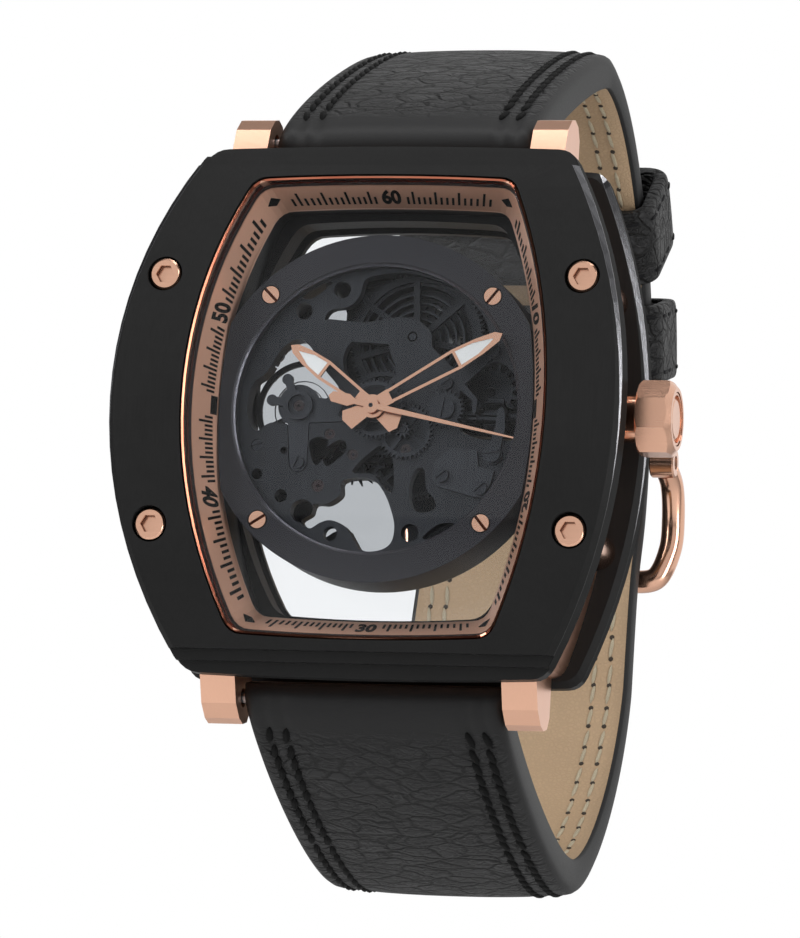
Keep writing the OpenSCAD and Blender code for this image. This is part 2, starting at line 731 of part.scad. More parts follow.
// Movement plates: openings drawn as smooth outlines, seen from the front.
balance_window = [
  [-9.46, 3.02], [-8.26, 5.02], [-6.76, 5.82], [-5.56, 4.72], [-4.46, 3.12], [-3.26, 1.52], [-4.16, -0.28], [-6.66, -1.18],
  [-8.86, -1.08], [-10.06, -1.78], [-10.86, -0.48], [-10.86, 1.12], [-10.36, 2.32]
];
lower_window = [
  [-2.66, -5.78], [-1.16, -5.48], [0.04, -5.73], [0.89, -6.68], [1.54, -8.08], [1.89, -9.48], [1.64, -10.78],
  [0.64, -11.38], [-0.76, -11.38], [-1.46, -10.48], [-2.16, -9.48], [-3.36, -8.98], [-4.26, -9.18], [-5.16, -9.68],
  [-5.96, -9.08], [-5.16, -8.48], [-4.86, -7.68], [-3.76, -7.63], [-2.76, -6.88]
];
pallet_window = [[-4.36, -3.48], [-3.46, -2.58], [-2.66, -2.48], [-2.46, -3.28], [-3.16, -4.08], [-4.06, -4.58]];
train_window = [[-1.86, -4.98], [-0.06, -3.08], [0.94, -2.98], [1.54, -4.48], [1.59, -6.58], [0.84, -6.28], [-0.16, -5.18]];
spring_window = [
  [-3.06, 4.72], [-2.36, 5.72], [-0.76, 6.12], [0.34, 5.92], [0.74, 4.72], [1.34, 3.32], [0.84, 2.52], [-0.56, 2.02],
  [-2.36, 2.42], [-3.06, 3.52]
];
upper_blob = [
  [-0.46, 11.12], [-1.66, 10.72], [-2.06, 9.42], [-2.86, 8.52], [-4.36, 8.22], [-4.86, 7.42], [-4.36, 6.72], [-3.16, 6.82],
  [-0.76, 7.32], [1.04, 7.62], [2.64, 7.52], [3.94, 6.52], [4.14, 5.32], [4.34, 4.32], [5.84, 3.52], [8.04, 4.32], [8.84, 6.12],
  [8.04, 8.12], [5.84, 10.02], [3.24, 11.02], [1.34, 11.32]
];
keyless_window = [
  [6.64, -1.18], [6.74, 1.82], [7.84, 3.32], [9.84, 4.02], [11.34, 2.52], [11.64, 0.12], [11.34, -2.08], [10.04, -2.38], [8.04, -2.08]
];
side_sliver = [[-6.86, 9.22], [-6.06, 9.12], [-4.66, 10.12], [-4.46, 10.52], [-5.16, 10.32], [-6.16, 9.72]];
slot_window = [[3.44, -4.68], [2.94, -6.08], [3.14, -7.68], [3.94, -8.28], [5.04, -7.98], [5.14, -7.28], [4.34, -6.28], [4.14, -4.88]];
corner_blob = [[4.24, -10.28], [5.04, -9.48], [5.84, -9.08], [6.74, -9.08], [6.54, -9.38], [5.64, -9.98], [4.94, -10.38]];
bean = [[-5.56, -2.68], [-4.96, -2.23], [-4.06, -2.38], [-4.06, -3.18], [-4.46, -4.18], [-4.96, -4.48], [-5.36, -3.78]];
plate_holes = [
  [-3.53, 9.88, 0.7], [-6.62, 8.09, 0.7], [-9.76, -5.28, 0.45], [-7.67, -7.05, 0.53], [-5.85, -8.26, 0.95],
  [-3.39, -10.08, 0.58], [3.18, -9.9, 0.72], [-7.63, -3.33, 0.3]
];
jewel_seats = [[-9.89, -2.94, 0.5], [-4.65, -6.18, 0.52]];
module plate_cuts() {
  for (w = [lower_window, pallet_window, train_window, spring_window, upper_blob, keyless_window, side_sliver,
            slot_window, corner_blob, bean, balance_window])
    polygon(smooth_closed(w, 4));
  for (h = plate_holes)
    translate([h[0], h[1]]) circle(r = h[2]);
}
jewel_r = 0.45;
recess_t = 0.35;
post_r = 0.68;
screw_hole = 0.4;
module main_plate() {
  color(dark_steel) watch() {
    difference() {
      union() {
        difference() {
          translate([0, 0, plate_z]) cylinder(r = movement_r, h = plate_t);
          translate([0, 0, plate_z - 1]) linear_extrude(plate_t + 2) plate_cuts();
        }
        difference() {
          translate([0, 0, train_z]) cylinder(r = movement_r, h = plate_z - train_z + 0.2);
          translate([0, 0, train_z - 1]) cylinder(r = movement_r - rim_wall, h = through);
          at(barrel_at, train_z - 1) cylinder(r = barrel_r + 0.3, h = plate_z - train_z + 1 - eps);
        }
        for (p = bridge_screw_at)
          at(p, train_z) cylinder(r = post_r, h = plate_z - train_z + 0.1);
        at(barrel_at, plate_z) cylinder(r = 1.25, h = plate_t);
        translate([0, 0, plate_z]) linear_extrude(plate_t) {
          bar([-4.4, 6.6], barrel_at, 0.85, 0.75);
          bar(barrel_at, [5.6, 3.1], 0.5, 0.6);
        }
        at(minute_wheel_at, plate_z) cylinder(r = 0.28, h = hour_wheel_z + 0.3 - plate_z);
      }
      at(centre, plate_z - 1) cylinder(r = 0.62, h = plate_t + 2);
      at(barrel_at, plate_z - 1) cylinder(r = 0.42, h = plate_t + 2);
      for (p = [escape_at, pallet_at, third_at])
        at(p, plate_z - 1) cylinder(r = jewel_r, h = plate_t + 2);
      for (j = jewel_seats)
        translate([j[0], j[1], plate_top - recess_t]) cylinder(r = j[2], h = 1);
      at(balance_at, plate_top - 0.5) linear_extrude(1) cock_outline(0.06);
      on_stem(5) cylinder(r = 1.3, h = 20);
      for (p = concat(keyless_screw_at, [lever_at, yoke_at, setting_at], [for (c = cock_screws) balance_at + c]))
        at(p, plate_z - 0.2) cylinder(r = 0.33, h = plate_t + 1);
      for (p = bridge_screw_at)
        at(p, train_z - 1) cylinder(r = screw_hole, h = 2.2);
    }
  }
}
// Balance cock on the dial side with its regulator arms.
module cock_outline(grow) {
  circle(r = 1.72 + grow);
  bar([0.4, -0.3], cock_screws[0], 1.1 + grow, 0.85 + grow);
  bar([0, -0.6], cock_screws[1], 0.9 + grow, 0.72 + grow);
}
cock_screws = [[3.7, -0.4], [0.21, -4.65]];
module balance_cock() {
  color(brass_dark) watch() at(balance_at, 0) {
    difference() {
      translate([0, 0, plate_top - 0.5]) linear_extrude(0.5) cock_outline(0);
      translate([0, 0, plate_top - 2]) cylinder(r = jewel_r + 0.02, h = 4);
      for (p = cock_screws)
        translate([p[0], p[1], plate_top - 2]) cylinder(r = 0.33, h = 4);
    }
    translate([0, 0, plate_top]) linear_extrude(0.35) difference() {
      union() {
        circle(r = 1.2);
        for (v = [[115, 2.3], [170, 2.2]])
          rotate(v[0]) {
            translate([0, -0.32]) square([v[1], 0.64]);
            translate([v[1], 0]) circle(r = 0.45);
          }
      }
      circle(r = 0.85);
    }
  }
}
// Rear bridges, cut along one line across the movement.
split_line = [[-13, 4.6], [-4.2, 4.4], [-2.6, 0.4], [2.2, 0.9], [6.6, -1.2], [13, -1.6]];
// The rear openings follow the line of sight through the front ones, so that light falls through.
sight_shift = [-1.15, 0.75];
module rear_openings() {
  for (w = [lower_window, balance_window, side_sliver, pallet_window], f = [0, 0.5, 1])
    translate(f * sight_shift) polygon(smooth_closed(w, 4));
  polygon(smooth_closed([[4.2, -4.6], [6.6, -3.2], [8.8, -4.1], [8.6, -6.6], [6, -8.2], [4.2, -7.2]], 4));
  polygon(smooth_closed([[-8.6, 7.2], [-6.4, 6.6], [-4.6, 7.4], [-4.4, 9.2], [-6.2, 9.2]], 4));
  at(barrel_at) for (i = [0 : 4])
    rotate(i * 72 + 20) intersection() {
      difference() {
        circle(r = 4.1);
        circle(r = 1.7);
      }
      polygon([[0, 0], [6, -2.4], [6, 2.4]]);
    }
}
module lower_side(gap) {
  polygon(concat(split_line + [for (p = split_line) [0, -gap]], [[14, -14], [-14, -14]]));
}
module upper_side(gap) {
  polygon(concat(split_line + [for (p = split_line) [0, gap]], [[14, 14], [-14, 14]]));
}
bridge_screw_at = [[-8.9, -7.8], [7.9, -8.6], [-11, -3.6], [11.2, -3.4], [9.7, 6.6], [-4.6, 10.7], [-10.3, 5.6]];
rear_balance_arm = [balance_at, [-8.4, -4.6]];
module bridge_holes() {
  for (p = [centre, barrel_at])
    at(p, 0) cylinder(r = 0.32, h = through);
  for (p = [third_at, escape_at, pallet_at, balance_at])
    at(p, 0) cylinder(r = jewel_r, h = through);
  for (p = bridge_screw_at)
    at(p, 0) {
      cylinder(r = screw_hole, h = through);
      cylinder(r = 0.75, h = bridge_z + 0.5);
    }
}
module train_bridge() {
  color(brass_dark) watch() difference() {
    translate([0, 0, bridge_z]) linear_extrude(bridge_t) {
      difference() {
        intersection() {
          circle(r = movement_r);
          lower_side(0.08);
        }
        rear_openings();
      }
      bar(rear_balance_arm[0], rear_balance_arm[1], 1.3, 1.2);
      bar(pallet_at, escape_at, 0.9);
      bar(escape_at, [-0.6, -1.9], 0.9);
      bar(pallet_at, [-5.6, -5.2], 0.8);
    }
    bridge_holes();
  }
}
module barrel_bridge() {
  color(brass_dark) watch() {
    difference() {
      translate([0, 0, bridge_z]) linear_extrude(bridge_t) {
        difference() {
          intersection() {
            circle(r = movement_r);
            upper_side(0.08);
          }
          rear_openings();
        }
        translate(click_at) circle(r = 0.8);
      }
      bridge_holes();
    }
    at(crown_wheel_at, bridge_z + 0.3) cylinder(r = 0.37, h = ratchet_z + 0.3 - bridge_z - 0.3);
    at(click_at, bridge_z + 0.3) cylinder(r = 0.22, h = ratchet_z + 0.3 - bridge_z - 0.3);
  }
}
keyless_screw_at = [[5.7, -5.3], [8.9, -6.3], [5.6, 2.26]];
module movement_screws() {
  color("#4a4a50") watch() {
    for (p = bridge_screw_at)
      at(p, 0) mirror([0, 0, 1]) translate([0, 0, -2 * bridge_z]) slotted_screw(0.7, bridge_z, 0.5, 0.36, 0.75, 30);
    for (i = [0, 1])
      at(keyless_screw_at[i], 0) slotted_screw(0.55, plate_top + 0.75, 0.4, 0.3, 1.2, 40);
    at(keyless_screw_at[2], 0) slotted_screw(0.5, plate_top + 0.4, 0.4, 0.3, 0.8, 40);
    for (p = cock_screws)
      at(balance_at + p, 0) slotted_screw(0.52, plate_top + 0.35, 0.35, 0.3, 1.1, 70);
    at(jewel_seats[0], 0) slotted_screw(0.46, plate_top - 0.05, 0.3, 0.25, 0, 15);
    at(lever_at, 0) slotted_screw(0.7, plate_top + 0.77, 0.4, 0.28, 1.1, 10);
    at(yoke_at, 0) slotted_screw(0.6, plate_top + 0.77, 0.4, 0.28, 1.1, 35);
    at(setting_at, 0) slotted_screw(0.85, plate_top + 0.75, 0.4, 0.3, 1.1, 80);
  }
}
module jewel(z, t, r = jewel_r) {
  translate([0, 0, z]) difference() {
    cylinder(r = r - 0.01, h = t);
    translate([0, 0, -1]) cylinder(r = 0.14, h = t + 2);
  }
}
module jewels() {
  color(ruby) watch() {
    for (p = [third_at, escape_at, pallet_at]) {
      at(p, plate_top - 0.4) jewel(0, 0.3);
      at(p, bridge_z + 0.4) jewel(0, 0.3);
    }
    at(balance_at, plate_top - 0.4) jewel(0, 0.35);
    at(balance_at, bridge_z + 0.4) jewel(0, 0.3);
    translate([jewel_seats[1][0], jewel_seats[1][1], plate_top - recess_t]) jewel(0, 0.25, jewel_seats[1][2]);
  }
}

// Power: barrel, spring, arbor, ratchet and click.
drum_r = 4.85;
module barrel() {
  color(dark_steel) watch() at(barrel_at, 0) {
    translate([0, 0, flange_z]) spoked(barrel_module, barrel_teeth, barrel_top - flange_z,
      angle_to(barrel_at, centre), 7, 0.55, 1.35, 0.5, 0.84);
    difference() {
      translate([0, 0, barrel_z]) cylinder(r = drum_r, h = flange_z - barrel_z);
      translate([0, 0, barrel_z + 0.25]) cylinder(r = drum_r - 0.3, h = 10);
      cylinder(r = 0.84, h = through);
      for (i = [0 : 4])
        rotate(i * 72) translate([2.8, 0, 0]) cylinder(r = 0.8, h = through);
    }
  }
}
module barrel_arbor() {
  color("silver") watch() at(barrel_at, 0) {
    arbor(bridge_z + 0.2, plate_top - 0.05, 0.28);
    arbor(ratchet_z + 0.35, barrel_top + 0.1, 0.8);
  }
}
spring_t = 0.14;
spring_r0 = 1.05;
spring_r1 = drum_r - 0.3 - spring_t - 0.08;
echo(least_gap_of_mainspring = (spring_r1 - spring_r0) / mainspring_turns - spring_t);
module mainspring() {
  color("#50545c") watch() at(barrel_at, barrel_z + 0.4)
    linear_extrude(mainspring_h) polygon(spiral(spring_r0, spring_r1, mainspring_turns, spring_t));
}
module ratchet_wheel() {
  color("#3c3c42") watch() at(barrel_at, ratchet_z) difference() {
    gear(ratchet_module, ratchet_teeth, 0.3, crown_wheel_angle);
    translate([0, 0, -1]) cylinder(r = 0.3, h = 3);
    for (i = [0 : 5])
      rotate(i * 60) translate([3, 0, -1]) cylinder(r = 0.75, h = 3);
  }
}
module crown_wheel() {
  color("#3c3c42") watch() at(crown_wheel_at, ratchet_z) difference() {
    union() {
      gear(ratchet_module, crown_wheel_teeth, 0.3, crown_wheel_angle + 180 + 180 / crown_wheel_teeth);
      arbor(-0.44, 0, 0.7);
    }
    translate([0, 0, -1]) cylinder(r = 0.4, h = 3);
  }
}
click_shape = [[-0.62, 0.1], [0.1, 0.85], [1.08, 1.2], [0.72, 0.35], [0.5, -0.55], [-0.4, -0.62]];
module click() {
  color("#5a5a60") watch() at(click_at, 0) rotate(click_angle + 180) difference() {
    union() {
      translate([0, 0, ratchet_z]) linear_extrude(0.3) polygon(smooth_closed(click_shape, 4));
      translate([0, 0, train_z + 0.02]) cylinder(r = 0.42, h = ratchet_z - train_z);
    }
    cylinder(r = 0.26, h = through);
  }
}
module click_spring() {
  color("#74747c") watch() {
    translate([0, 0, ratchet_z]) linear_extrude(0.25) {
      bar([0.4, 11.3], [-1.1, 11.35], 0.13);
      bar([-1.1, 11.35], [-2.4, 10.95], 0.1);
    }
    translate([0.4, 11.3, train_z]) cylinder(r = 0.42, h = ratchet_z + 0.25 - train_z);
  }
}

// Going train.
module centre_wheel() {
  color("#b9985a") watch() difference() {
    union() {
      translate([0, 0, centre_z])
        spoked(centre_module, centre_teeth, wheel_t, third_angle, 4, 0.3, 0.7, 0.3, 0.26);
      translate([0, 0, flange_z - 0.05])
        gear(barrel_module, centre_pinion_teeth, centre_z - flange_z + 0.05,
          barrel_angle + 180 / centre_pinion_teeth);
      arbor(centre_z, plate_top + 0.02, 0.5);
    }
    arbor(0, through, arbor_r + 0.06);
  }
}
module cannon_pinion() {
  color("silver") watch() difference() {
    union() {
      translate([0, 0, plate_top + 0.04])
        gear(motion_module, cannon_teeth, 0.32, minute_wheel_angle + 180 / cannon_teeth);
      arbor(plate_top + 0.3, minute_hand_z + hand_t, minute_bore - 0.02);
    }
    arbor(0, through, arbor_r + 0.06);
  }
}
module minute_wheel() {
  color("#8d8d94") watch() at(minute_wheel_at, minute_z) difference() {
    union() {
      spoked(motion_module, minute_teeth, wheel_t, minute_wheel_angle + 180, 4, 0.3, 0.6, 0.3, 0.3);
      translate([0, 0, wheel_t])
        gear(hour_module, minute_pinion_teeth, 0.75, minute_wheel_angle + 180);
    }
    translate([0, 0, -1]) cylinder(r = 0.33, h = 4);
  }
}
module hour_wheel() {
  color("#8d8d94") watch() difference() {
    union() {
      translate([0, 0, hour_wheel_z])
        spoked(hour_module, hour_teeth, wheel_t, minute_wheel_angle + 180 / hour_teeth, 4, 0.3, 1.1, 0.35, 0.6);
      arbor(hour_wheel_z, hour_z + hand_t, hour_bore - 0.02);
    }
    arbor(0, through, 0.6);
  }
}
module setting_wheel() {
  color("#8d8d94") watch() at(setting_at, minute_z) difference() {
    gear(motion_module, setting_teeth, wheel_t,
      mesh_turn(setting_angle, minute_wheel_angle + 180, minute_teeth, setting_teeth));
    translate([0, 0, -1]) cylinder(r = 0.34, h = 3);
  }
}
module third_wheel() {
  color("#b9985a") watch() at(third_at, 0) {
    translate([0, 0, third_z])
      spoked(third_module, third_teeth, wheel_t, third_angle + 180, 4, 0.3, 0.5, 0.3, 0.1);
    translate([0, 0, centre_z - 0.12])
      gear(centre_module, third_pinion_teeth, 0.45, third_angle + 180 + 180 / third_pinion_teeth);
    arbor(third_z, centre_z, 0.18);
    arbor(bridge_z + 0.45, plate_top - 0.15, 0.12);
  }
}
module fourth_wheel() {
  color("#b9985a") watch() {
    translate([0, 0, fourth_z])
      spoked(fourth_module, fourth_teeth, wheel_t, angle_to(centre, escape_at), 5, 0.35, 0.6, 0.35, 0.1);
    translate([0, 0, third_z - 0.3])
      gear(third_module, fourth_pinion_teeth, 0.8, third_angle + 180 / fourth_pinion_teeth);
    arbor(bridge_z + 0.3, seconds_z + 0.13, arbor_r - 0.02);
  }
}
module escape_wheel() {
  color("silver") watch() at(escape_at, 0) {
    translate([0, 0, escape_z]) linear_extrude(wheel_t) {
      difference() {
        circle(r = escape_r - 0.5);
        circle(r = escape_r - 0.75);
      }
      circle(r = 0.35);
      for (i = [0 : 4])
        rotate(i * 72) translate([0, -0.11]) square([escape_r - 0.6, 0.22]);
      for (i = [0 : escape_teeth - 1])
        rotate(i * 360 / escape_teeth + 6)
          polygon([[escape_r - 0.55, -0.2], [escape_r, 0.16], [escape_r - 0.02, 0.24], [escape_r - 0.55, 0.12]]);
    }
    translate([0, 0, fourth_z - 0.05])
      gear(fourth_module, escape_pinion_teeth, 0.5, angle_to(escape_at, centre) + 180 / escape_pinion_teeth);
    arbor(fourth_z, escape_z, 0.18);
    arbor(bridge_z + 0.45, plate_top - 0.15, 0.12);
  }
}
pallet_turn = angle_to(pallet_at, escape_at);
fork_len = norm(pallet_at - balance_at) - 0.75;
module pallet_fork() {
  color("silver") watch() at(pallet_at, 0) {
    translate([0, 0, escape_z]) linear_extrude(wheel_t) rotate(pallet_turn) {
      circle(r = 0.32);
      bar([0, 0], [-fork_len + 0.45, 0], 0.2, 0.12);
      polygon([[-fork_len + 0.5, -0.12], [-fork_len + 0.5, 0.12], [-fork_len, 0.36], [-fork_len - 0.12, 0.3],
        [-fork_len + 0.16, 0.08], [-fork_len + 0.16, -0.08], [-fork_len - 0.12, -0.3], [-fork_len, -0.36]]);
      bar([0, 0], [0.25, 1.45], 0.2, 0.16);
      bar([0, 0], [0.25, -1.45], 0.2, 0.16);
      for (s = [-1, 1])
        translate([0.2, s * 1.4]) rotate(s * 12) square([0.62, 0.3], center = true);
    }
    arbor(bridge_z + 0.45, plate_top - 0.15, 0.12);
  }
}
module balance_wheel() {
  color("#c8a15e") watch() at(balance_at, 0) {
    translate([0, 0, balance_z]) linear_extrude(0.3) {
      difference() {
        circle(r = balance_d / 2);
        circle(r = balance_d / 2 - 0.45);
      }
      circle(r = 0.6);
      rotate(25) translate([-balance_d / 2 + 0.3, -0.2]) square([balance_d - 0.6, 0.4]);
    }
    for (i = [0 : 7])
      rotate(25 + 22.5 + i * 45) translate([balance_d / 2 - 0.26, 0, balance_z - 0.1]) cylinder(r = 0.2, h = 0.5);
    arbor(escape_z - 0.3, balance_z, 0.25);
    translate([0, 0, escape_z + 0.3]) cylinder(r = 0.75, h = 0.12);
    rotate(pallet_turn) translate([0.5, 0, escape_z + 0.02]) cylinder(r = 0.12, h = 0.35);
    arbor(bridge_z + 0.45, plate_top - 0.15, 0.12);
  }
}
hair_t = 0.06;
hair_r0 = 0.6;
hair_r1 = 2.65;
echo(least_gap_of_hairspring = (hair_r1 - hair_r0) / hairspring_turns - hair_t);
module hairspring() {
  color("#6f7fa8") watch() at(balance_at, balance_z + 0.6)
    linear_extrude(0.18) polygon(spiral(hair_r0, hair_r1, hairspring_turns, hair_t));
}

// Winding and setting work along the stem.
clutch_x = 7;
clutch_len = 1.5;
clutch_groove = [0.72, 1.28];
fork_x = clutch_x + (clutch_groove[0] + clutch_groove[1]) / 2;
pinion_x = clutch_x + clutch_len + 0.05;
pinion_len = 1.35;
groove_x = 9.95;
module winding_stem() {
  color("silver") watch() difference() {
    union() {
      on_stem(5.2) cylinder(r = 0.3, h = 2);
      on_stem(6.4) translate([-0.38, -0.38, 0]) cube([0.76, 0.76, pinion_x - 6.4]);
      on_stem(pinion_x - 0.03) cylinder(r = 0.52, h = bezel_w / 2 + crown_gap + 1.2 - pinion_x);
    }
    on_stem(groove_x) difference() {
      cylinder(r = 1, h = 0.5);
      translate([0, 0, -1]) cylinder(r = 0.3, h = 3);
    }
  }
}
module winding_pinion() {
  color("#8d8d94") watch() on_stem(pinion_x) difference() {
    gear(0.25, winding_teeth, pinion_len, 0);
    translate([0, 0, -1]) cylinder(r = 0.57, h = 5);
  }
}
module sliding_pinion() {
  color("#8d8d94") watch() on_stem(clutch_x) difference() {
    union() {
      gear(0.2, 10, clutch_groove[0], 0);
      cylinder(r = 0.62, h = clutch_len);
      translate([0, 0, clutch_groove[1]]) gear(0.2, 10, clutch_len - clutch_groove[1], 0);
    }
    translate([-0.4, -0.4, -1]) cube([0.8, 0.8, 5]);
  }
}
lever_z = plate_top + 0.1;
lever_t = 0.25;
module setting_lever() {
  color("#5a5a60") watch() {
    difference() {
      translate([0, 0, lever_z - 0.02]) linear_extrude(lever_t) {
        translate(lever_at) circle(r = 0.8);
        bar(lever_at, [groove_x + 0.25, -1.3], 0.55, 0.4);
        bar([groove_x + 0.25, -1.3], [groove_x + 0.25, 0], 0.4, 0.3);
      }
      at(lever_at, 0) cylinder(r = 0.31, h = through);
    }
    translate([groove_x + 0.25, 0, stem_z + 0.38]) cylinder(r = 0.17, h = lever_z - stem_z - 0.3);
  }
}
module yoke() {
  color("#5a5a60") watch() {
    difference() {
      translate([0, 0, lever_z - 0.02]) linear_extrude(lever_t) {
        translate(yoke_at) circle(r = 0.65);
        bar(yoke_at, [clutch_x - 0.3, 2.2], 0.45, 0.3);
        bar([clutch_x - 0.3, 2.2], [fork_x, 0.9], 0.3, 0.2);
        bar([fork_x, 0.9], [fork_x, 0], 0.2, 0.17);
      }
      at(yoke_at, 0) cylinder(r = 0.31, h = through);
    }
    translate([fork_x, 0, stem_z + 0.68]) cylinder(r = 0.14, h = lever_z - stem_z - 0.6);
  }
}
module keyless_cover() {
  color(dark_steel) watch() difference() {
    translate([0, 0, plate_top + 0.02]) linear_extrude(0.33) polygon([
      [4.95, -4.2], [6.3, -3], [8.4, -3.2], [8.6, -4.5], [9.9, -4.85], [9.7, -5.8], [9.2, -7],
      [8.5, -7], [5.3, -6.15], [4.85, -5.6]
    ]);
    for (i = [0, 1])
      at(keyless_screw_at[i], 0) cylinder(r = 0.34, h = through);
  }
}

// Crown
crown_x = bezel_w / 2 + crown_gap;
cap_r = 2.1;
module crown() {
  color(rose_gold) watch() on_stem(crown_x) difference() {
    intersection() {
      rotate(22.5) cylinder(d = crown_d, h = crown_len, $fn = 8);
      union() {
        cylinder(r = crown_d, h = crown_len - 0.5);
        translate([0, 0, crown_len - 0.5]) cylinder(r1 = crown_d / 2 - 0.05, r2 = crown_d / 2 - 0.65, h = 0.5);
      }
      cylinder(r1 = crown_d / 2 - 0.2, r2 = crown_d / 2 + 2.6, h = crown_len);
    }
    translate([0, 0, crown_len - 0.55]) cylinder(r = cap_r + 0.08, h = 2);
    translate([0, 0, -1]) cylinder(r = 0.54, h = 2.3);
    translate([0, 0, -1]) cylinder(r = tube_r + 0.1, h = 1.5);
  }
}
module crown_cap() {
  color(rose_deep) watch() on_stem(crown_x + crown_len - 0.55) {
    cylinder(r = cap_r, h = 0.2);
    translate([0, 0, 0.2]) cylinder(r1 = cap_r - 0.25, r2 = cap_r - 0.6, h = 0.25);
    translate([0, 0, 0.2]) difference() {
      cylinder(r = cap_r, h = 0.28);
      translate([0, 0, -1]) cylinder(r = cap_r - 0.18, h = 3);
    }
  }
}
module crown_gasket() {
  color(black_steel) watch() on_stem(crown_x - 1.6) rotate_extrude() translate([0.84, 0]) circle(r = 0.27, $fn = 24);
}

// Strap
function on_curve(p, t) =
  pow(1 - t, 3) * p[0] + 3 * t * pow(1 - t, 2) * p[1] + 3 * t * t * (1 - t) * p[2] + t * t * t * p[3];
function on_slope(p, t) =
  3 * pow(1 - t, 2) * (p[1] - p[0]) + 6 * t * (1 - t) * (p[2] - p[1]) + 3 * t * t * (p[3] - p[2]);
function unit(v) = v / norm(v);
function route_points(route) = [
  for (s = route)
    for (i = [0 : curve_steps - 1]) [on_curve(s, i / curve_steps), unit(on_slope(s, i / curve_steps))],
  let (s = route[len(route) - 1]) [on_curve(s, 1), unit(on_slope(s, 1))]
];
edge_r = 0.75;
// Section of the strap: flat lining side, rounded outer edges and a padded middle.
function strap_section(w, t, pad) =
  let (h = w / 2, o = -t / 2)
    [
      [-h + edge_r, o], [-h / 2, o - pad * 0.75], [0, o - pad], [h / 2, o - pad * 0.75], [h - edge_r, o],
      [h, o + edge_r], [h, t / 2 - 0.15], [h - 0.15, t / 2], [-h + 0.15, t / 2], [-h, t / 2 - 0.15], [-h, o + edge_r]
    ];
function strap_rings(route, side, w0, w1, t0, t1, pad) =
  let (pts = route_points(route), n = len(pts) - 1)
    [
      for (i = [0 : n])
        let (
          f = i / n,
          c = pts[i][0],
          d = pts[i][1],
          soft = min(1, i / 4) * min(1, (n - i) / 3) * (1 - 0.5 * f),
          s = strap_section(w0 + (w1 - w0) * min(1, f * 1.3), t0 + (t1 - t0) * f, pad * soft)
        )
          [for (q = s) [side * q[0], c[0] + d[1] * side * q[1], c[1] - d[0] * side * q[1]]]
    ];
bar_bore = spring_bar_r + 0.1;
module x_hole(p, r) {
  translate([-through / 2, p[0], p[1]]) rotate([0, 90, 0]) cylinder(r = r, h = through);
}
strap_gap = 0.3;
module strap_upper() {
  color(leather) difference() {
    sweep(strap_rings(upper_route, 1, lug_gap - 2 * strap_gap, strap_tip_w, strap_t, strap_tip_t, strap_pad));
    x_hole([bar_y, bar_reach], bar_bore);
    x_hole(buckle_at, bar_bore);
    translate([-1.4, buckle_at[0] - 5, buckle_at[1] - 6]) cube([2.8, 10, 8.2]);
  }
}
module strap_lower() {
  color(leather) difference() {
    sweep(strap_rings(lower_route, -1, lug_gap - 2 * strap_gap, strap_tip_w - 0.8, strap_t, strap_tip_t, strap_pad));
    x_hole([bar_y, -bar_reach], bar_bore);
    translate([-1.1, back_reach - 1, buckle_at[1] - 7]) cube([2.2, 9, 5.8]);
    for (z = [8.5, 14.5, 20.5])
      translate([0, back_reach + 6, z]) rotate([90, 0, 0]) cylinder(r = 0.9, h = 8);
  }
}
keeper_t = 1.3;
module keeper(at_y, at_z, tilt, depth) {
  w = strap_tip_w + 0.7;
  translate([0, at_y, at_z]) rotate([tilt, 0, 0]) difference() {
    minkowski() {
      cube([w + 2 * keeper_t - 1, depth + 2 * keeper_t - 1, keeper_w - 0.6], center = true);
      cylinder(r = 0.5, h = 0.6, center = true, $fn = 16);
    }
    cube([w, depth, keeper_w + 2], center = true);
  }
}
module fixed_keeper() {
  color(leather) keeper(back_reach + 0.6, 17, 16.4, 7.3);
}
module free_keeper() {
  color(leather) keeper(back_reach - 4.3, 26.4, 36.9, 8);
}
// Buckle: rod frame hinged on a bar, and a tongue that rests on its far side.
function rod_ring(c, d, n, ra, rb, sides = 10) = [
  for (k = [0 : sides - 1])
    let (a = 360 * k / sides)
      c + ra * cos(a) * n + rb * sin(a) * cross(d, n)
];
arm_x = strap_tip_w / 2 + 1.7;
frame_route = [
  [arm_x, buckle_at[0] + 0.1, buckle_at[1]], [arm_x + 0.3, buckle_at[0] + 2.6, buckle_at[1] - 1.6],
  [arm_x + 0.3, crossbar_at[0] + 0.3, buckle_at[1] - 4.4], [arm_x + 0.1, crossbar_at[0] + 0.5, crossbar_at[1] + 3],
  [arm_x - 0.9, crossbar_at[0], crossbar_at[1] + 0.4], [arm_x - 3, crossbar_at[0], crossbar_at[1]]
];
function bspline(p, t) =
  let (n = len(p) - 1, u = min(t * n, n - 0.0001), i = floor(u), f = u - i,
       a = p[max(i - 1, 0)], b = p[i], c = p[i + 1], d = p[min(i + 2, n)])
    0.5 * (2 * b + (c - a) * f + (2 * a - 5 * b + 4 * c - d) * f * f + (3 * b - a - 3 * c + d) * f * f * f);
half_frame = [for (i = [0 : 16]) bspline(frame_route, i / 16)];
frame_path = concat(half_frame, [for (i = [16 : -1 : 0]) [-half_frame[i][0], half_frame[i][1], half_frame[i][2]]]);
frame_rings = [
  for (i = [0 : len(frame_path) - 1])
    let (
      a = frame_path[max(i - 1, 0)],
      b = frame_path[min(i + 1, len(frame_path) - 1)],
      d = unit(b - a),
      side = unit([0, 1, 0.35] - d * (d * [0, 1, 0.35]))
    )
      rod_ring(frame_path[i], d, side, buckle_d / 2, buckle_d / 2)
];
eye_r = 1.35;
module buckle_frame() {
  color(rose_deep) difference() {
    union() {
      sweep(frame_rings);
      for (s = [-1, 1])
        translate([s * arm_x, buckle_at[0], buckle_at[1]]) rotate([0, 90, 0]) cylinder(r = eye_r, h = 2.2, center = true);
    }
    x_hole(buckle_at, 0.62);
  }
}
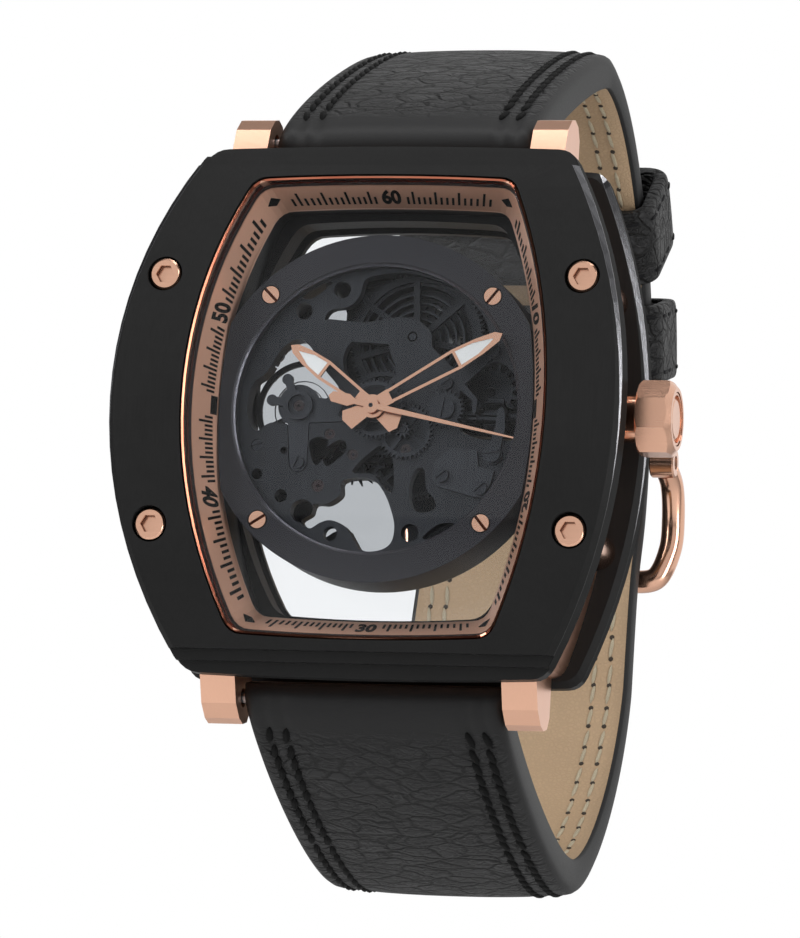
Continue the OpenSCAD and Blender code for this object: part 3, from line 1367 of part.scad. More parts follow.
module buckle_bar() {
  color("silver") translate([0, buckle_at[0], buckle_at[1]]) rotate([0, 90, 0])
    cylinder(r = 0.58, h = 2 * arm_x + 1.8, center = true);
}
tongue_route = [
  [0, buckle_at[0] + 0.4, buckle_at[1] - 0.9], [0, buckle_at[0] + 1.8, buckle_at[1] - 2.7],
  [0, crossbar_at[0] + 0.4, buckle_at[1] - 5.2], [0, crossbar_at[0] + 1.6, crossbar_at[1] + 2],
  [0, crossbar_at[0] + 1.75, crossbar_at[1] - 1.1]
];
tongue_path = [for (i = [0 : 14]) bspline(tongue_route, i / 14)];
tongue_rings = [
  for (i = [0 : len(tongue_path) - 1])
    let (
      d = unit(tongue_path[min(i + 1, 14)] - tongue_path[max(i - 1, 0)]),
      r = i == 14 ? 0.35 : i == 13 ? 0.55 : 1
    )
      rod_ring(tongue_path[i], d, [1, 0, 0], 0.75 * r, 0.55 * r, 8)
];
module buckle_tongue() {
  color(rose_deep) difference() {
    union() {
      sweep(tongue_rings);
      translate([0, buckle_at[0], buckle_at[1]]) rotate([0, 90, 0]) cylinder(r = 1.15, h = 2, center = true);
    }
    x_hole(buckle_at, 0.63);
  }
}

bezel();
bezel_screws();
case_pillars();
chapter_ring();
front_crystal();
case_gaskets();
middle_case();
movement_holder();
back_plate();
back_crystal();
case_back_screws();
crown_tube();
spring_bars();
dial_ring();
dial_ring_screws();
main_plate();
train_bridge();
barrel_bridge();
movement_screws();
balance_cock();
jewels();
barrel();
barrel_arbor();
mainspring();
ratchet_wheel();
crown_wheel();
click();
click_spring();
centre_wheel();
cannon_pinion();
minute_wheel();
hour_wheel();
third_wheel();
fourth_wheel();
escape_wheel();
pallet_fork();
balance_wheel();
hairspring();
hour_hand();
minute_hand();
seconds_hand();
hour_lume();
minute_lume();
winding_stem();
winding_pinion();
sliding_pinion();
setting_lever();
yoke();
setting_wheel();
keyless_cover();
crown();
crown_cap();
crown_gasket();
strap_upper();
strap_lower();
fixed_keeper();
free_keeper();
buckle_frame();
buckle_tongue();
buckle_bar();
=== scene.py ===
"""Looks of a skeleton wristwatch with a bowed black case, rose gold trim and a padded leather strap.

The frame gives the metal and crystal pieces in one shared place. This add-on gives each of them its finish
and adds the stitched strap, its lining and keepers, the printed minute track, the lamps and the camera.
Lengths are millimetres in the functions that follow the case and metres in the meshes.
"""

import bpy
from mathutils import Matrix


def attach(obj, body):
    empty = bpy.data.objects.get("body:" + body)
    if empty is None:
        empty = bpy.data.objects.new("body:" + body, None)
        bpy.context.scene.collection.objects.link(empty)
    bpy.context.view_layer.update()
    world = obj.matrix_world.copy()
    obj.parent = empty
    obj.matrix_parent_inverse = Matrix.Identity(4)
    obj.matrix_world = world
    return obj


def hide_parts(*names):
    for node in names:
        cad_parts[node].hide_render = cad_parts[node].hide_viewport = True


bl_info = {
    "name": "Skeleton wristwatch",
    "version": (1, 0, 0),
    "blender": (4, 5, 0),
    "location": "View3D > Sidebar > Watch",
    "description": "Finishes, strap, printing and light of a skeleton wristwatch",
    "category": "Add Mesh",
}

import math

import bpy
import numpy as np
from mathutils import Matrix, Vector

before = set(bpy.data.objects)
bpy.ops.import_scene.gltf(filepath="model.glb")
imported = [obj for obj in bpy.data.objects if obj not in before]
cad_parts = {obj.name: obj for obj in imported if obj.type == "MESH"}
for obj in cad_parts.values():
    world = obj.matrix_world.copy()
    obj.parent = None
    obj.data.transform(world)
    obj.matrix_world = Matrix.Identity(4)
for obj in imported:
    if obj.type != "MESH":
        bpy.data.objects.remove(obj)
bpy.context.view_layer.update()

MM = 0.001
BACK_Y = -22.5  # the case back's place along the depth axis, in mm
CASE_TOP = 14.0  # mm from the case back to the middle of the bezel's face
BOW_R = 58.0  # radius of the bowed face, in mm
WINDOW = (15.05, 18.7, 42.4)  # half width, half height, radius of the long sides
BEZEL = (21.0, 21.5, 40.4)
BACK = (20.7, 21.2, 50.5)
BAND = ((0.65, -1.55), (2.0, -4.4))  # inset and depth of the printed slope's two edges
END_CROWN = 0.25  # mm that the window's short ends bulge
CORNER_R = 1.1  # mm that a corner of the track reaches along both sides
QUARTER_MINUTE = 1.5  # degrees
BAR_END = 0.8  # share of the slope at which the minute lines end
OPENING_R = 11.8  # radius of the polished edge round the dial ring's opening, in mm
UPPER_ROUTE = [
    [(-27.3, 21.8), (-24.6, 25.8), (-2.5, 35.9), (2, 35.8)],
    [(2, 35.8), (13.5, 35.3), (24.8, 22.5), (24.9, 11)],
    [(24.9, 11), (24.9, 9), (25.2, 7.5), (25.2, 4.6)],
]
LOWER_ROUTE = [
    [(-27.3, -21.8), (-24.6, -25.8), (-6, -33.9), (2.5, -33.5)],
    [(2.5, -33.5), (10.5, -33.4), (20.8, -24), (23.2, -15)],
    [(23.2, -15), (23.8, -11.5), (24.3, -8), (25.1, -5)],
    [(25.1, -5), (26.1, -1.7), (28.3, 0.5), (28.4, 5)],
    [(28.4, 5), (28.7, 11), (28.6, 18.8), (21.4, 28.3)],
]
ROUTE_STEPS = 12  # cross sections of the frame's strap on each curve of a route
TIP_THICK = 2.3  # mm
STRAP_HOLES = (8.5, 14.5, 20.5)  # their heights in mm
HOLE_R = 0.9
BUCKLE_AT = (25.2, 6.0)  # the buckle bar's place in mm, back and up
BUCKLE_ROUTE = [  # the right half of the buckle frame in mm across, back and up, from the bar to the middle
    (11.7, 25.3, 6),
    (12, 27.8, 4.4),
    (12, 29.1, 1.6),
    (11.8, 29.3, -1.2),
    (10.8, 28.8, -3.8),
    (8.7, 28.8, -4.2),
]
ROD_R = 1.03
EYE_X = 11.7  # mm from the middle to the frame's eyes
STITCH_ROWS = (1.6, 3.0)  # mm of the stitch rows from the strap's edge
LINING_GAP = 0.42  # mm between two stitches of the lining
KEEPER_STITCH = (0.00145, 0.00036, 0.00022)  # length, width and height in metres
KEEPER_PITCH = 1.9  # mm from one stitch of a keeper to the next
BEZEL_SCREW_TOP = 35.476  # mm of the screw heads' faces in front of the origin
RING_SCREW_TOP = 32.22


def linear(code):
    """Scene-linear red, green and blue of a six-digit sRGB code."""
    parts = [int(code[i : i + 2], 16) / 255 for i in (1, 3, 5)]
    return tuple(c / 12.92 if c <= 0.04045 else ((c + 0.055) / 1.055) ** 2.4 for c in parts)


# Shader maths


class Value:
    """A shader socket on which sums, differences and products add Math nodes."""

    def __init__(self, look, socket):
        self.look = look
        self.socket = socket

    def do(self, operation, *terms, clamp=False):
        settings = {"operation": operation, "use_clamp": clamp}
        return self.look.node("ShaderNodeMath", settings, dict(enumerate(terms)))[0]

    def __add__(self, other):
        return self.do("ADD", self, other)

    def __radd__(self, other):
        return self.do("ADD", other, self)

    def __sub__(self, other):
        return self.do("SUBTRACT", self, other)

    def __rsub__(self, other):
        return self.do("SUBTRACT", other, self)

    def __mul__(self, other):
        return self.do("MULTIPLY", self, other)

    def __rmul__(self, other):
        return self.do("MULTIPLY", other, self)

    def __abs__(self):
        return self.do("ABSOLUTE", self)

    def root(self):
        return self.do("SQRT", self)

    def least(self, other):
        return self.do("MINIMUM", self, other)

    def most(self, other):
        return self.do("MAXIMUM", self, other)

    def limited(self):
        """The value, kept between 0 and 1."""
        return self.do("ADD", self, 0.0, clamp=True)

    def step(self, low, high):
        """Smooth 0 to 1 as the value passes from low to high."""
        inputs = {"Value": self, "From Min": low, "From Max": high}
        return self.look.node("ShaderNodeMapRange", {"interpolation_type": "SMOOTHSTEP"}, inputs)["Result"]


class Outputs:
    """The outputs of a node, as values."""

    def __init__(self, look, node):
        self.look = look
        self.node = node

    def __getitem__(self, key):
        return Value(self.look, self.node.outputs[key])


class Look:
    """A material or world whose nodes are added by methods and expressions."""

    def __init__(self, name, world=False):
        self.owner = bpy.data.worlds.new(name) if world else bpy.data.materials.new(name)
        self.owner.use_nodes = True
        self.tree = self.owner.node_tree
        self.tree.nodes.clear()
        self.place = self.node("ShaderNodeTexCoord")["Generated" if world else "Object"]

    def node(self, kind, settings=None, inputs=None):
        """Adds a node: its settings first, then the values or links of its sockets."""
        made = self.tree.nodes.new(kind)
        for key, value in (settings or {}).items():
            setattr(made, key, value)
        for key, value in (inputs or {}).items():
            if isinstance(value, Value):
                self.tree.links.new(value.socket, made.inputs[key])
            elif isinstance(value, tuple) and len(value) == 3 and made.inputs[key].type == "RGBA":
                made.inputs[key].default_value = (*value, 1)
            else:
                made.inputs[key].default_value = value
        return Outputs(self, made)

    def axes(self, scale=1000.0):
        """The place's x, y and z, in millimetres where the scale is 1000."""
        split = self.node("ShaderNodeSeparateXYZ", None, {0: self.place})
        return [split[i] * scale for i in range(3)]

    def stretched(self, scale, turn=(0.0, 0.0, 0.0)):
        """The place, scaled along each axis and turned."""
        inputs = {"Vector": self.place, "Scale": scale, "Rotation": turn}
        return self.node("ShaderNodeMapping", None, inputs)["Vector"]

    def noise(self, scale, detail=3.0, rough=0.5, where=None, warp=0.0):
        """Fractal noise from 0 to 1, with scale in cycles per metre."""
        inputs = {"Vector": where or self.place, "Scale": scale, "Detail": detail}
        inputs.update({"Roughness": rough, "Distortion": warp})
        return self.node("ShaderNodeTexNoise", None, inputs)["Fac"]

    def grain(self, per_mm, along):
        """Brushed lines: noise stretched along one axis, from 0 to 1."""
        scale = [per_mm * 1000.0] * 3
        scale[along] = per_mm * 25.0
        return self.noise(1.0, 4.0, 0.6, self.stretched(tuple(scale)))

    def cells(self, scale, where=None):
        """Distance to the edge of cells, with scale in cycles per metre."""
        inputs = {"Vector": where or self.place, "Scale": scale}
        return self.node("ShaderNodeTexVoronoi", {"feature": "DISTANCE_TO_EDGE"}, inputs)["Distance"]

    def mix(self, first, second, factor):
        return self.node("ShaderNodeMix", {"data_type": "RGBA"}, {0: factor, 6: first, 7: second})[2]

    def bump(self, height, distance, strength=1.0, under=None):
        inputs = {"Height": height, "Distance": distance, "Strength": strength}
        if under:
            inputs["Normal"] = under
        return self.node("ShaderNodeBump", None, inputs)["Normal"]

    def principled(self, color, rough, metal=0.0, normal=None, **more):
        inputs = {"Base Color": color, "Roughness": rough, "Metallic": metal}
        if normal:
            inputs["Normal"] = normal
        for key, value in more.items():
            inputs[key.replace("_", " ").title().replace("Ior", "IOR")] = value
        return self.node("ShaderNodeBsdfPrincipled", None, inputs)["BSDF"]

    def done(self, shader, output="ShaderNodeOutputMaterial"):
        """Joins the shader to the output and gives the material or world."""
        self.node(output, None, {"Surface": shader})
        return self.owner


def shade(color, share):
    """A colour times a number."""
    return tuple(c * share for c in color)


# Meshes from arrays


def add_mesh(name, points, faces, material, body, smooth=True):
    """Mesh object from points in metres and faces, riding on a body."""
    mesh = bpy.data.meshes.new(name)
    mesh.from_pydata(points.reshape(-1, 3).tolist(), [], [list(map(int, f)) for f in faces])
    mesh.polygons.foreach_set("use_smooth", [smooth] * len(mesh.polygons))
    mesh.materials.append(material)
    mesh.update()
    piece = bpy.data.objects.new(name, mesh)
    bpy.context.scene.collection.objects.link(piece)
    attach(piece, body)
    return piece


def loft_faces(rings, count, closed):
    """Quads between neighbouring rings of count points each, and end caps where the row of rings is open."""
    i = np.arange(rings if closed else rings - 1)[:, None]
    j = np.arange(count)[None, :]
    a, b = i * count, (i + 1) % rings * count
    q = (j + 1) % count
    quads = np.stack([a + j, a + q, b + q, b + j], axis=-1).reshape(-1, 4)
    if closed:
        return quads.tolist()
    caps = [list(range(count))[::-1], list(range((rings - 1) * count, rings * count))]
    return quads.tolist() + caps


def outward(points, faces):
    """Faces of a closed shape, turned round where the volume that they enclose comes out negative."""
    volume = 0.0
    for face in faces:
        a = points[face[0]]
        for b, c in zip(face[1:-1], face[2:]):
            volume += a @ np.cross(points[b], points[c])
    return faces if volume > 0 else [face[::-1] for face in faces]


def repeat_shape(points, faces, places, axes):
    """Copies of one small shape: each point times the copy's three axes, plus the copy's place."""
    moved = np.einsum("nk,mkc->mnc", points, axes) + places[:, None, :]
    starts = np.arange(len(places))[:, None, None] * len(points)
    all_faces = (np.asarray(faces)[None] + starts).reshape(-1, len(faces[0]))
    return moved.reshape(-1, 3), all_faces


def bead(length, width, height, around=8, rows=5):
    """A stitch: an ellipse-sectioned bar, thick for most of its length and rounded off at both ends."""
    u = np.linspace(-1, 1, rows)
    size = np.sqrt(1 - np.clip(np.abs(u), 0, 0.98) ** 3.5)
    a = np.linspace(0, 2 * np.pi, around, endpoint=False)
    grid = np.stack(
        [
            np.repeat(u[:, None] * length / 2, around, axis=1),
            size[:, None] * np.cos(a)[None] * width / 2,
            size[:, None] * np.sin(a)[None] * height / 2,
        ],
        axis=-1,
    )
    quads = [f for f in loft_faces(rows, around, False) if len(f) == 4]
    points = np.concatenate([grid.reshape(-1, 3), [[-length / 2, 0, 0], [length / 2, 0, 0]]])
    low, high = len(points) - 2, len(points) - 1
    last = (rows - 1) * around
    for k in range(around):
        n = (k + 1) % around
        quads.append([n, k, low, low])
        quads.append([last + k, last + n, high, high])
    return points, quads


def clean_faces(faces):
    """Faces without a point that is named twice in a row."""
    return [[v for i, v in enumerate(f) if v != f[i - 1]] for f in np.asarray(faces).tolist()]


def carve(piece, cutters):
    """Cuts the cutters' shapes out of a piece and takes the cutters away."""
    for cutter in cutters:
        cut = piece.modifiers.new("cut", "BOOLEAN")
        cut.operation = "DIFFERENCE"
        cut.solver = "EXACT"
        cut.object = cutter
    bpy.context.view_layer.update()
    shaped = piece.evaluated_get(bpy.context.evaluated_depsgraph_get())
    mesh = bpy.data.meshes.new_from_object(shaped)
    piece.modifiers.clear()
    old = piece.data
    piece.data = mesh
    mesh.name = old.name
    bpy.data.meshes.remove(old)
    for cutter in cutters:
        bpy.data.objects.remove(cutter)


def cutter_object(points, faces):
    """An object that carve takes away again, from points in mm."""
    mesh = bpy.data.meshes.new("cutter")
    mesh.from_pydata((points * MM).tolist(), [], faces)
    mesh.update()
    cutter = bpy.data.objects.new("cutter", mesh)
    bpy.context.scene.collection.objects.link(cutter)
    return cutter


def box_cutter(low, high):
    """A box between two corners in mm."""
    low, high = np.array(low), np.array(high)
    pick = np.array([[i & 1, i >> 1 & 1, i >> 2 & 1] for i in range(8)])
    faces = [[0, 2, 3, 1], [4, 5, 7, 6], [0, 1, 5, 4], [2, 6, 7, 3], [0, 4, 6, 2], [1, 3, 7, 5]]
    return cutter_object(low + (high - low) * pick, faces)


def rod_cutter(centre, axis, r, half, sides=32):
    """A rod of radius r and half length half through centre, in mm, along axis 0, 1 or 2."""
    a = np.linspace(0, 2 * np.pi, sides, endpoint=False)
    ring = np.zeros((2, sides, 3))
    across = [k for k in range(3) if k != axis]
    ring[:, :, across[0]] = r * np.cos(a)
    ring[:, :, across[1]] = r * np.sin(a)
    ring[0, :, axis] = -half
    ring[1, :, axis] = half
    return cutter_object((ring + np.array(centre)).reshape(-1, 3), loft_faces(2, sides, False))


# The case's outlines


def bow(y):
    """Depth of the bowed front at height y: the sagitta of a circle of radius BOW_R."""
    return BOW_R - np.sqrt(BOW_R**2 - y**2)


def to_world(x, y, z):
    """Millimetres seen from the front, with z up from the case back, as metres in the shared frame."""
    return np.stack([x, BACK_Y - z, y], axis=-1) * MM


def slope_row(across, lift=0.0):
    """Half width, half height and side radius of a row of the printed slope, and the row's depth.

    across runs from 0 at the outer edge to 1 at the inner edge, and lift is mm off the surface.
    """
    (inset0, depth0), (inset1, depth1) = BAND
    run, fall = inset1 - inset0, depth1 - depth0
    slope = math.hypot(run, fall)
    inset = inset0 + run * across - lift * fall / slope
    depth = depth0 + fall * across + lift * run / slope
    return (*(size - inset for size in WINDOW), depth)


def band_point(side, along, across, lift):
    """Point on the printed slope, along mm from the middle of a side: left, right, top or bottom."""
    w, h, r, depth = slope_row(across, lift)
    if side in ("left", "right"):
        y = along + 0 * w
        x = (w - r + np.sqrt(r**2 - y**2)) * (1 if side == "right" else -1)
    else:
        x = along + 0 * w
        ex = w - r + np.sqrt(r**2 - h**2) - CORNER_R
        y = (h + END_CROWN * (1 - (x / ex) ** 2)) * (1 if side == "top" else -1)
    return to_world(x, y, CASE_TOP + depth - bow(y))


def corner_point(right, up, share, across, lift):
    """Point in a corner of the printed slope, at a share t of the way from the long side to the short end.

    It is (1 - t)^2 a + 2 t (1 - t) b + t^2 c, where b is the sharp corner and a and c lie on its two sides.
    """
    w, h, r, depth = slope_row(across, lift)
    low = h - CORNER_R
    cx = w - r + np.sqrt(r**2 - h**2)
    first = (1 - share) ** 2
    last = share**2
    x = first * (w - r + np.sqrt(r**2 - low**2)) + (1 - first - last) * cx + last * (cx - CORNER_R)
    y = first * low + (1 - first) * h
    return to_world(right * x, up * y, CASE_TOP + depth - bow(y))


def rim_distance(x, y, outline):
    """Shader value: mm from the outline of a barrel shape's long sides, inwards."""
    half_w, _, r = outline
    reach = (r * r - y * y).root() + (half_w - r)
    return reach - abs(x)


# The strap's path


def strap_path(route, spacing=0.5):
    """Even points, unit slopes and the share of the way along a row of joined cubic Bezier curves.

    Each curve is the usual cubic blend of its four control points. The way is measured on a fine copy and
    divided evenly, and the share counts curves and not lengths, as the frame's strap does.
    """
    t = np.linspace(0, 1, 200)[:, None]
    parts, shares = [], []
    for k, curve in enumerate(route):
        a, b, c, d = (np.array(p, float)[None] for p in curve)
        parts.append((1 - t) ** 3 * a + 3 * t * (1 - t) ** 2 * b + 3 * t**2 * (1 - t) * c + t**3 * d)
        shares.append((k + t[:, 0]) / len(route))
    fine, share = np.concatenate(parts), np.concatenate(shares)
    keep = np.concatenate([[True], np.linalg.norm(np.diff(fine, axis=0), axis=1) > 1e-9])
    fine, share = fine[keep], share[keep]
    way = np.concatenate([[0], np.cumsum(np.linalg.norm(np.diff(fine, axis=0), axis=1))])
    even = np.linspace(0, way[-1], int(way[-1] / spacing) + 1)
    points = np.stack([np.interp(even, way, fine[:, k]) for k in (0, 1)], axis=1)
    slopes = np.gradient(points, even, axis=0)
    slopes /= np.linalg.norm(slopes, axis=1)[:, None]
    return points, slopes, np.interp(even, way, share), even


def strap_sizes(share, w0, w1, t0, t1, count):
    """Width, thickness and softness of the strap at each share of its way."""
    steps = share * count
    soft = np.minimum(1, steps / 4) * np.minimum(1, (count - steps) / 3) * (1 - 0.5 * share)
    return w0 + (w1 - w0) * np.minimum(1, share * 1.3), t0 + (t1 - t0) * share, np.clip(soft, 0, 1)


class StrapHalf:
    """One half of the strap: its path, sizes and the frame at each point of the path."""

    def __init__(self, route, side, tip_w, settings):
        self.side = side
        self.points, self.slopes, self.share, self.way = strap_path(route)
        widths = (settings.lug_width / MM, tip_w)
        thicks = (settings.thickness / MM, TIP_THICK)
        count = ROUTE_STEPS * len(route)
        self.width, self.thick, self.soft = strap_sizes(self.share, *widths, *thicks, count)
        self.out = np.stack([-side * self.slopes[:, 1], side * self.slopes[:, 0]], axis=1)

    def place(self, index, x, height):
        """Point at path index, x mm across and height mm outwards from the middle of the thickness."""
        base, out = self.points[index], self.out[index]
        shape = np.broadcast(x, height).shape
        x, height = np.broadcast_to(x, shape), np.broadcast_to(height, shape)
        y = base[..., 0] + out[..., 0] * height
        z = base[..., 1] + out[..., 1] * height
        return np.stack([x, y, z], axis=-1) * MM

    def outer_height(self, index, x, settings):
        """Height of the padded face above the middle of the thickness.

        It is half the thickness, plus padding that falls off as a power towards the edges, less a shallow
        channel along each row of stitches.
        """
        half = self.width[index] / 2
        pad = settings.padding / MM * self.soft[index]
        swell = pad * np.clip(1 - (np.abs(x) / (half - 0.75)) ** 2.4, 0, 1)
        channel = sum(np.exp(-(((np.abs(x) - (half - row)) / 0.34) ** 2)) for row in STITCH_ROWS)
        edge = np.clip((np.abs(x) - (half - 0.9)) / 0.9, 0, 1)
        return self.thick[index] / 2 + swell - 0.17 * channel - 0.75 * (1 - np.sqrt(1 - edge**2 * 0.999))


# Properties


def tint(name, note, code):
    """A colour property."""
    return bpy.props.FloatVectorProperty(name=name, description=note, subtype="COLOR", default=linear(code))


def span(name, note, metres):
    """A length property."""
    return bpy.props.FloatProperty(
        name=name, description=note, subtype="DISTANCE", default=metres, precision=5
    )


def amount(name, note, value):
    """A plain number property."""
    return bpy.props.FloatProperty(name=name, description=note, default=value)


class WatchMetals(bpy.types.PropertyGroup):
    """Colours of the metal pieces."""

    rose: tint("Rose gold", "Colour of the trim, hands and crown", "#e2b298")
    coat: tint("Case black", "Colour of the coated case", "#171717")
    plate: tint("Movement grey", "Colour of the plates and bridges", "#303236")
    ring: tint("Dial ring", "Colour of the ring round the movement", "#303034")
    lume: tint("Hand filling", "Colour of the filling in the hands", "#dfe2e2")


class WatchPrint(bpy.types.PropertyGroup):
    """Sizes of the printed minute track."""

    line: span("Line", "Width of a minute line", 0.00019)
    figure: span("Figure", "Length of a two-figure number along the track", 0.0016)
    ink: tint("Ink", "Colour of the printing", "#060505")


class WatchStrap(bpy.types.PropertyGroup):
    """Sizes and colours of the strap."""

    lug_width: span("Width at the lugs", "Strap width between the lugs", 0.0214)
    tip_width: span("Width at the buckle", "Strap width at the buckle", 0.02)
    thickness: span("Thickness", "Strap thickness at the lugs", 0.0032)
    padding: span("Padding", "Height of the padding in the middle", 0.00045)
    stitch: span("Stitch", "Length of one stitch", 0.0019)
    leather: tint("Leather", "Colour of the leather", "#131314")
    lining: tint("Lining", "Colour of the lining", "#a88f72")
    thread: tint("Lining thread", "Colour of the stitches inside", "#c0b49c")


class WatchLight(bpy.types.PropertyGroup):
    """Strengths of the studio light."""

    key: amount("Key lamp", "Watts of the left lamp", 3.0)
    fill: amount("Fill lamp", "Watts of the right lamp and of the top lamp", 1.9)
    sky: amount("Room light", "Strength of the light from all round", 0.25)
    front: amount("Front card", "Brightness of the dim card in front", 0.8)


# Materials


def coated_steel(settings, outline, name, top, bowed):
    """Black coated steel with upright brushing, and a polished chamfer along an outline's long sides, drawn
    wider and brighter towards the top as a painted highlight.
    """
    look = Look(name)
    lines = look.grain(9.0, 2)
    cloud = look.noise(180.0, 2.0)
    coat = tuple(settings.coat)
    color = look.mix(coat, shade(coat, 2.1), (lines * 0.6 + cloud * 0.4).limited())
    x, y, z = look.axes()
    below = y - BACK_Y + top
    if bowed:
        below = below - BOW_R + (BOW_R * BOW_R - z * z).root()
    rim = rim_distance(x, z, outline)
    wall = (1.0 - rim.step(0.05, 0.1)) * below.step(0.52, 0.56)
    # painted highlight: the chamfer is drawn wider towards the top, and its grey and metal fade to 0.3 of
    # full towards the bottom
    inner = (below + z * 0.02).step(0.3, 0.34)
    painted_highlight_fade = 0.3 + z.step(-15.0, 8.0) * 0.7
    edge = (1.0 - rim.step(0.45, 0.5)) * inner * (1.0 - below.step(0.5, 0.53)) * painted_highlight_fade
    # the chamfer's light grey: partly the polished edge, partly painted highlight
    color = look.mix(color, linear("#a2a2a6"), edge * 0.9)
    rough = (0.3 + lines * 0.16) * (1.0 - edge) + edge * 0.16
    shader = look.principled(color, rough, edge, look.bump(lines, 0.000006, 0.5), specular_ior_level=0.06)
    dull = look.node("ShaderNodeBsdfDiffuse", None, {"Color": coat})["BSDF"]
    return look.done(look.node("ShaderNodeMixShader", None, {0: wall * 0.75, 1: shader, 2: dull})[0])


def rose_gold(settings, name, rough=0.16, brushed=0.0, along=2):
    """Rose gold plate: polished or brushed, clouded a little darker."""
    look = Look(name)
    lines = look.grain(8.0, along)
    cloud = look.noise(260.0, 2.0)
    color = look.mix(shade(settings.rose, 0.86), tuple(settings.rose), (cloud * 0.5 + lines * 0.5).limited())
    normal = look.bump(lines, 0.000004 + 0.00001 * brushed, 0.3 + 0.6 * brushed)
    return look.done(look.principled(color, rough + lines * (0.06 + 0.14 * brushed), 1.0, normal))


def screw_gold(settings, name, top, low, high):
    """Screw heads: turned rose gold, with the recess from low to high mm under the head's top darkened as
    painted shade.
    """
    look = Look(name)
    lines = look.grain(8.0, 0)
    depth = look.axes()[1] + top
    recess_shade = depth.step(low, low + 0.04) * (1.0 - depth.step(high, high + 0.03))
    face = look.mix(shade(settings.rose, 0.88), tuple(settings.rose), lines.limited())
    # painted shade: the recess is drawn dark brown
    color = look.mix(face, linear("#4a2416"), recess_shade)
    normal = look.bump(lines, 0.000008, 0.6)
    return look.done(look.principled(color, 0.18 + lines * 0.1 + recess_shade * 0.3, 1.0, normal))


def chapter_gold(settings):
    """Chapter ring: a rim of dimmed rose gold as painted shade, a polished bevel painted dark reddish brown
    as a painted reflection of the dark case it looks into, and a matt printed slope.
    """
    look = Look("chapter_gold")
    x, _, z = look.axes()
    inset = rim_distance(x, z, WINDOW).least(WINDOW[1] + END_CROWN - abs(z))
    slope = inset.step(0.55, 0.66)
    rim = 1.0 - inset.step(0.15, 0.2)
    grit = look.noise(9000.0, 2.0)
    lines = look.grain(7.0, 2)
    matt = look.mix(shade(settings.rose, 0.8), shade(settings.rose, 0.95), grit)
    # painted reflection: the bevel's dark reddish browns stand for the shade and dark reflection that it
    # shows looking into the case
    bevel = look.mix(linear("#9a5340"), linear("#c07a60"), look.noise(300.0, 2.0))
    # painted shade: the rim is the rose gold at 0.36, dimmed so the lamp's highlight on it stays soft
    color = look.mix(look.mix(bevel, shade(settings.rose, 0.36), rim), matt, slope)
    rough = 0.1 + rim * 0.26 + slope * (0.3 + grit * 0.12)
    normal = look.bump(grit * slope + lines * 0.2, 0.000006, 0.5)
    return look.done(look.principled(color, rough, 1.0 - slope * 0.3, normal))


def dark_plate(name, color, along=2, per_mm=6.0, rough=0.34, metal=0.75):
    """Dark plated metal with brushed lines and faint clouding."""
    look = Look(name)
    lines = look.grain(per_mm, along)
    cloud = look.noise(500.0, 3.0)
    tone = look.mix(shade(color, 0.5), shade(color, 1.5), (lines * 0.65 + cloud * 0.35).limited())
    normal = look.bump(lines, 0.000008, 0.5)
    return look.done(look.principled(tone, rough + lines * 0.14, metal, normal, specular_ior_level=0.3))


def ring_metal(settings):
    """Dial ring: fine satin face and a thin polished edge round its opening."""
    look = Look("dial_ring_satin")
    x, y, z = look.axes()
    edge = (1.0 - (x * x + z * z).root().step(OPENING_R - 0.04, OPENING_R)) * (0.0 - y).step(31.8, 31.9)
    grit = look.noise(12000.0, 2.0)
    cloud = look.noise(120.0, 2.0)
    face = look.mix(shade(settings.ring, 0.8), shade(settings.ring, 1.15), cloud * 0.85 + grit * 0.15)
    color = look.mix(face, linear("#48484e"), edge)
    rough = 0.42 + grit * 0.06 - edge * 0.26
    normal = look.bump(grit, 0.0000015, 0.2)
    return look.done(look.principled(color, rough, 0.55, normal, specular_ior_level=0.25))


def clear_crystal(name, strength, tint_code=None):
    """Crystal: clear, with a Fresnel reflection, and a grey coating in the middle where a tint is given."""
    look = Look(name)
    through = look.node("ShaderNodeBsdfTransparent", None, {"Color": (0.97, 0.975, 0.98)})[0]
    if tint_code:
        x, _, z = look.axes()
        inside = 1.0 - (x * x + z * z).root().step(12.35, 12.55)
        fade = 0.9 + look.noise(70.0, 1.0) * 0.1
        grey = look.node("ShaderNodeBsdfTransparent", None, {"Color": linear(tint_code)})[0]
        through = look.node("ShaderNodeMixShader", None, {0: inside * fade, 1: through, 2: grey})[0]
    shine = look.node("ShaderNodeBsdfGlossy", None, {"Color": (1.0, 1.0, 1.0), "Roughness": 0.02})[0]
    smear = look.noise(60.0, 2.0) * 0.2 + 0.9
    facing = look.node("ShaderNodeFresnel", None, {"IOR": 1.5})[0] * strength * smear
    return look.done(look.node("ShaderNodeMixShader", None, {0: facing, 1: through, 2: shine})[0])


def plain(name, color, rough, metal=0.0, scale=3000.0, spread=0.15, bump=0.000004, **more):
    """A material with fine mottling in colour, roughness and height."""
    look = Look(name)
    grit = look.noise(scale, 3.0)
    tone = look.mix(shade(color, 1 - spread), tuple(min(1, c) for c in shade(color, 1 + spread)), grit)
    return look.done(look.principled(tone, rough + grit * 0.1, metal, look.bump(grit, bump, 0.5), **more))


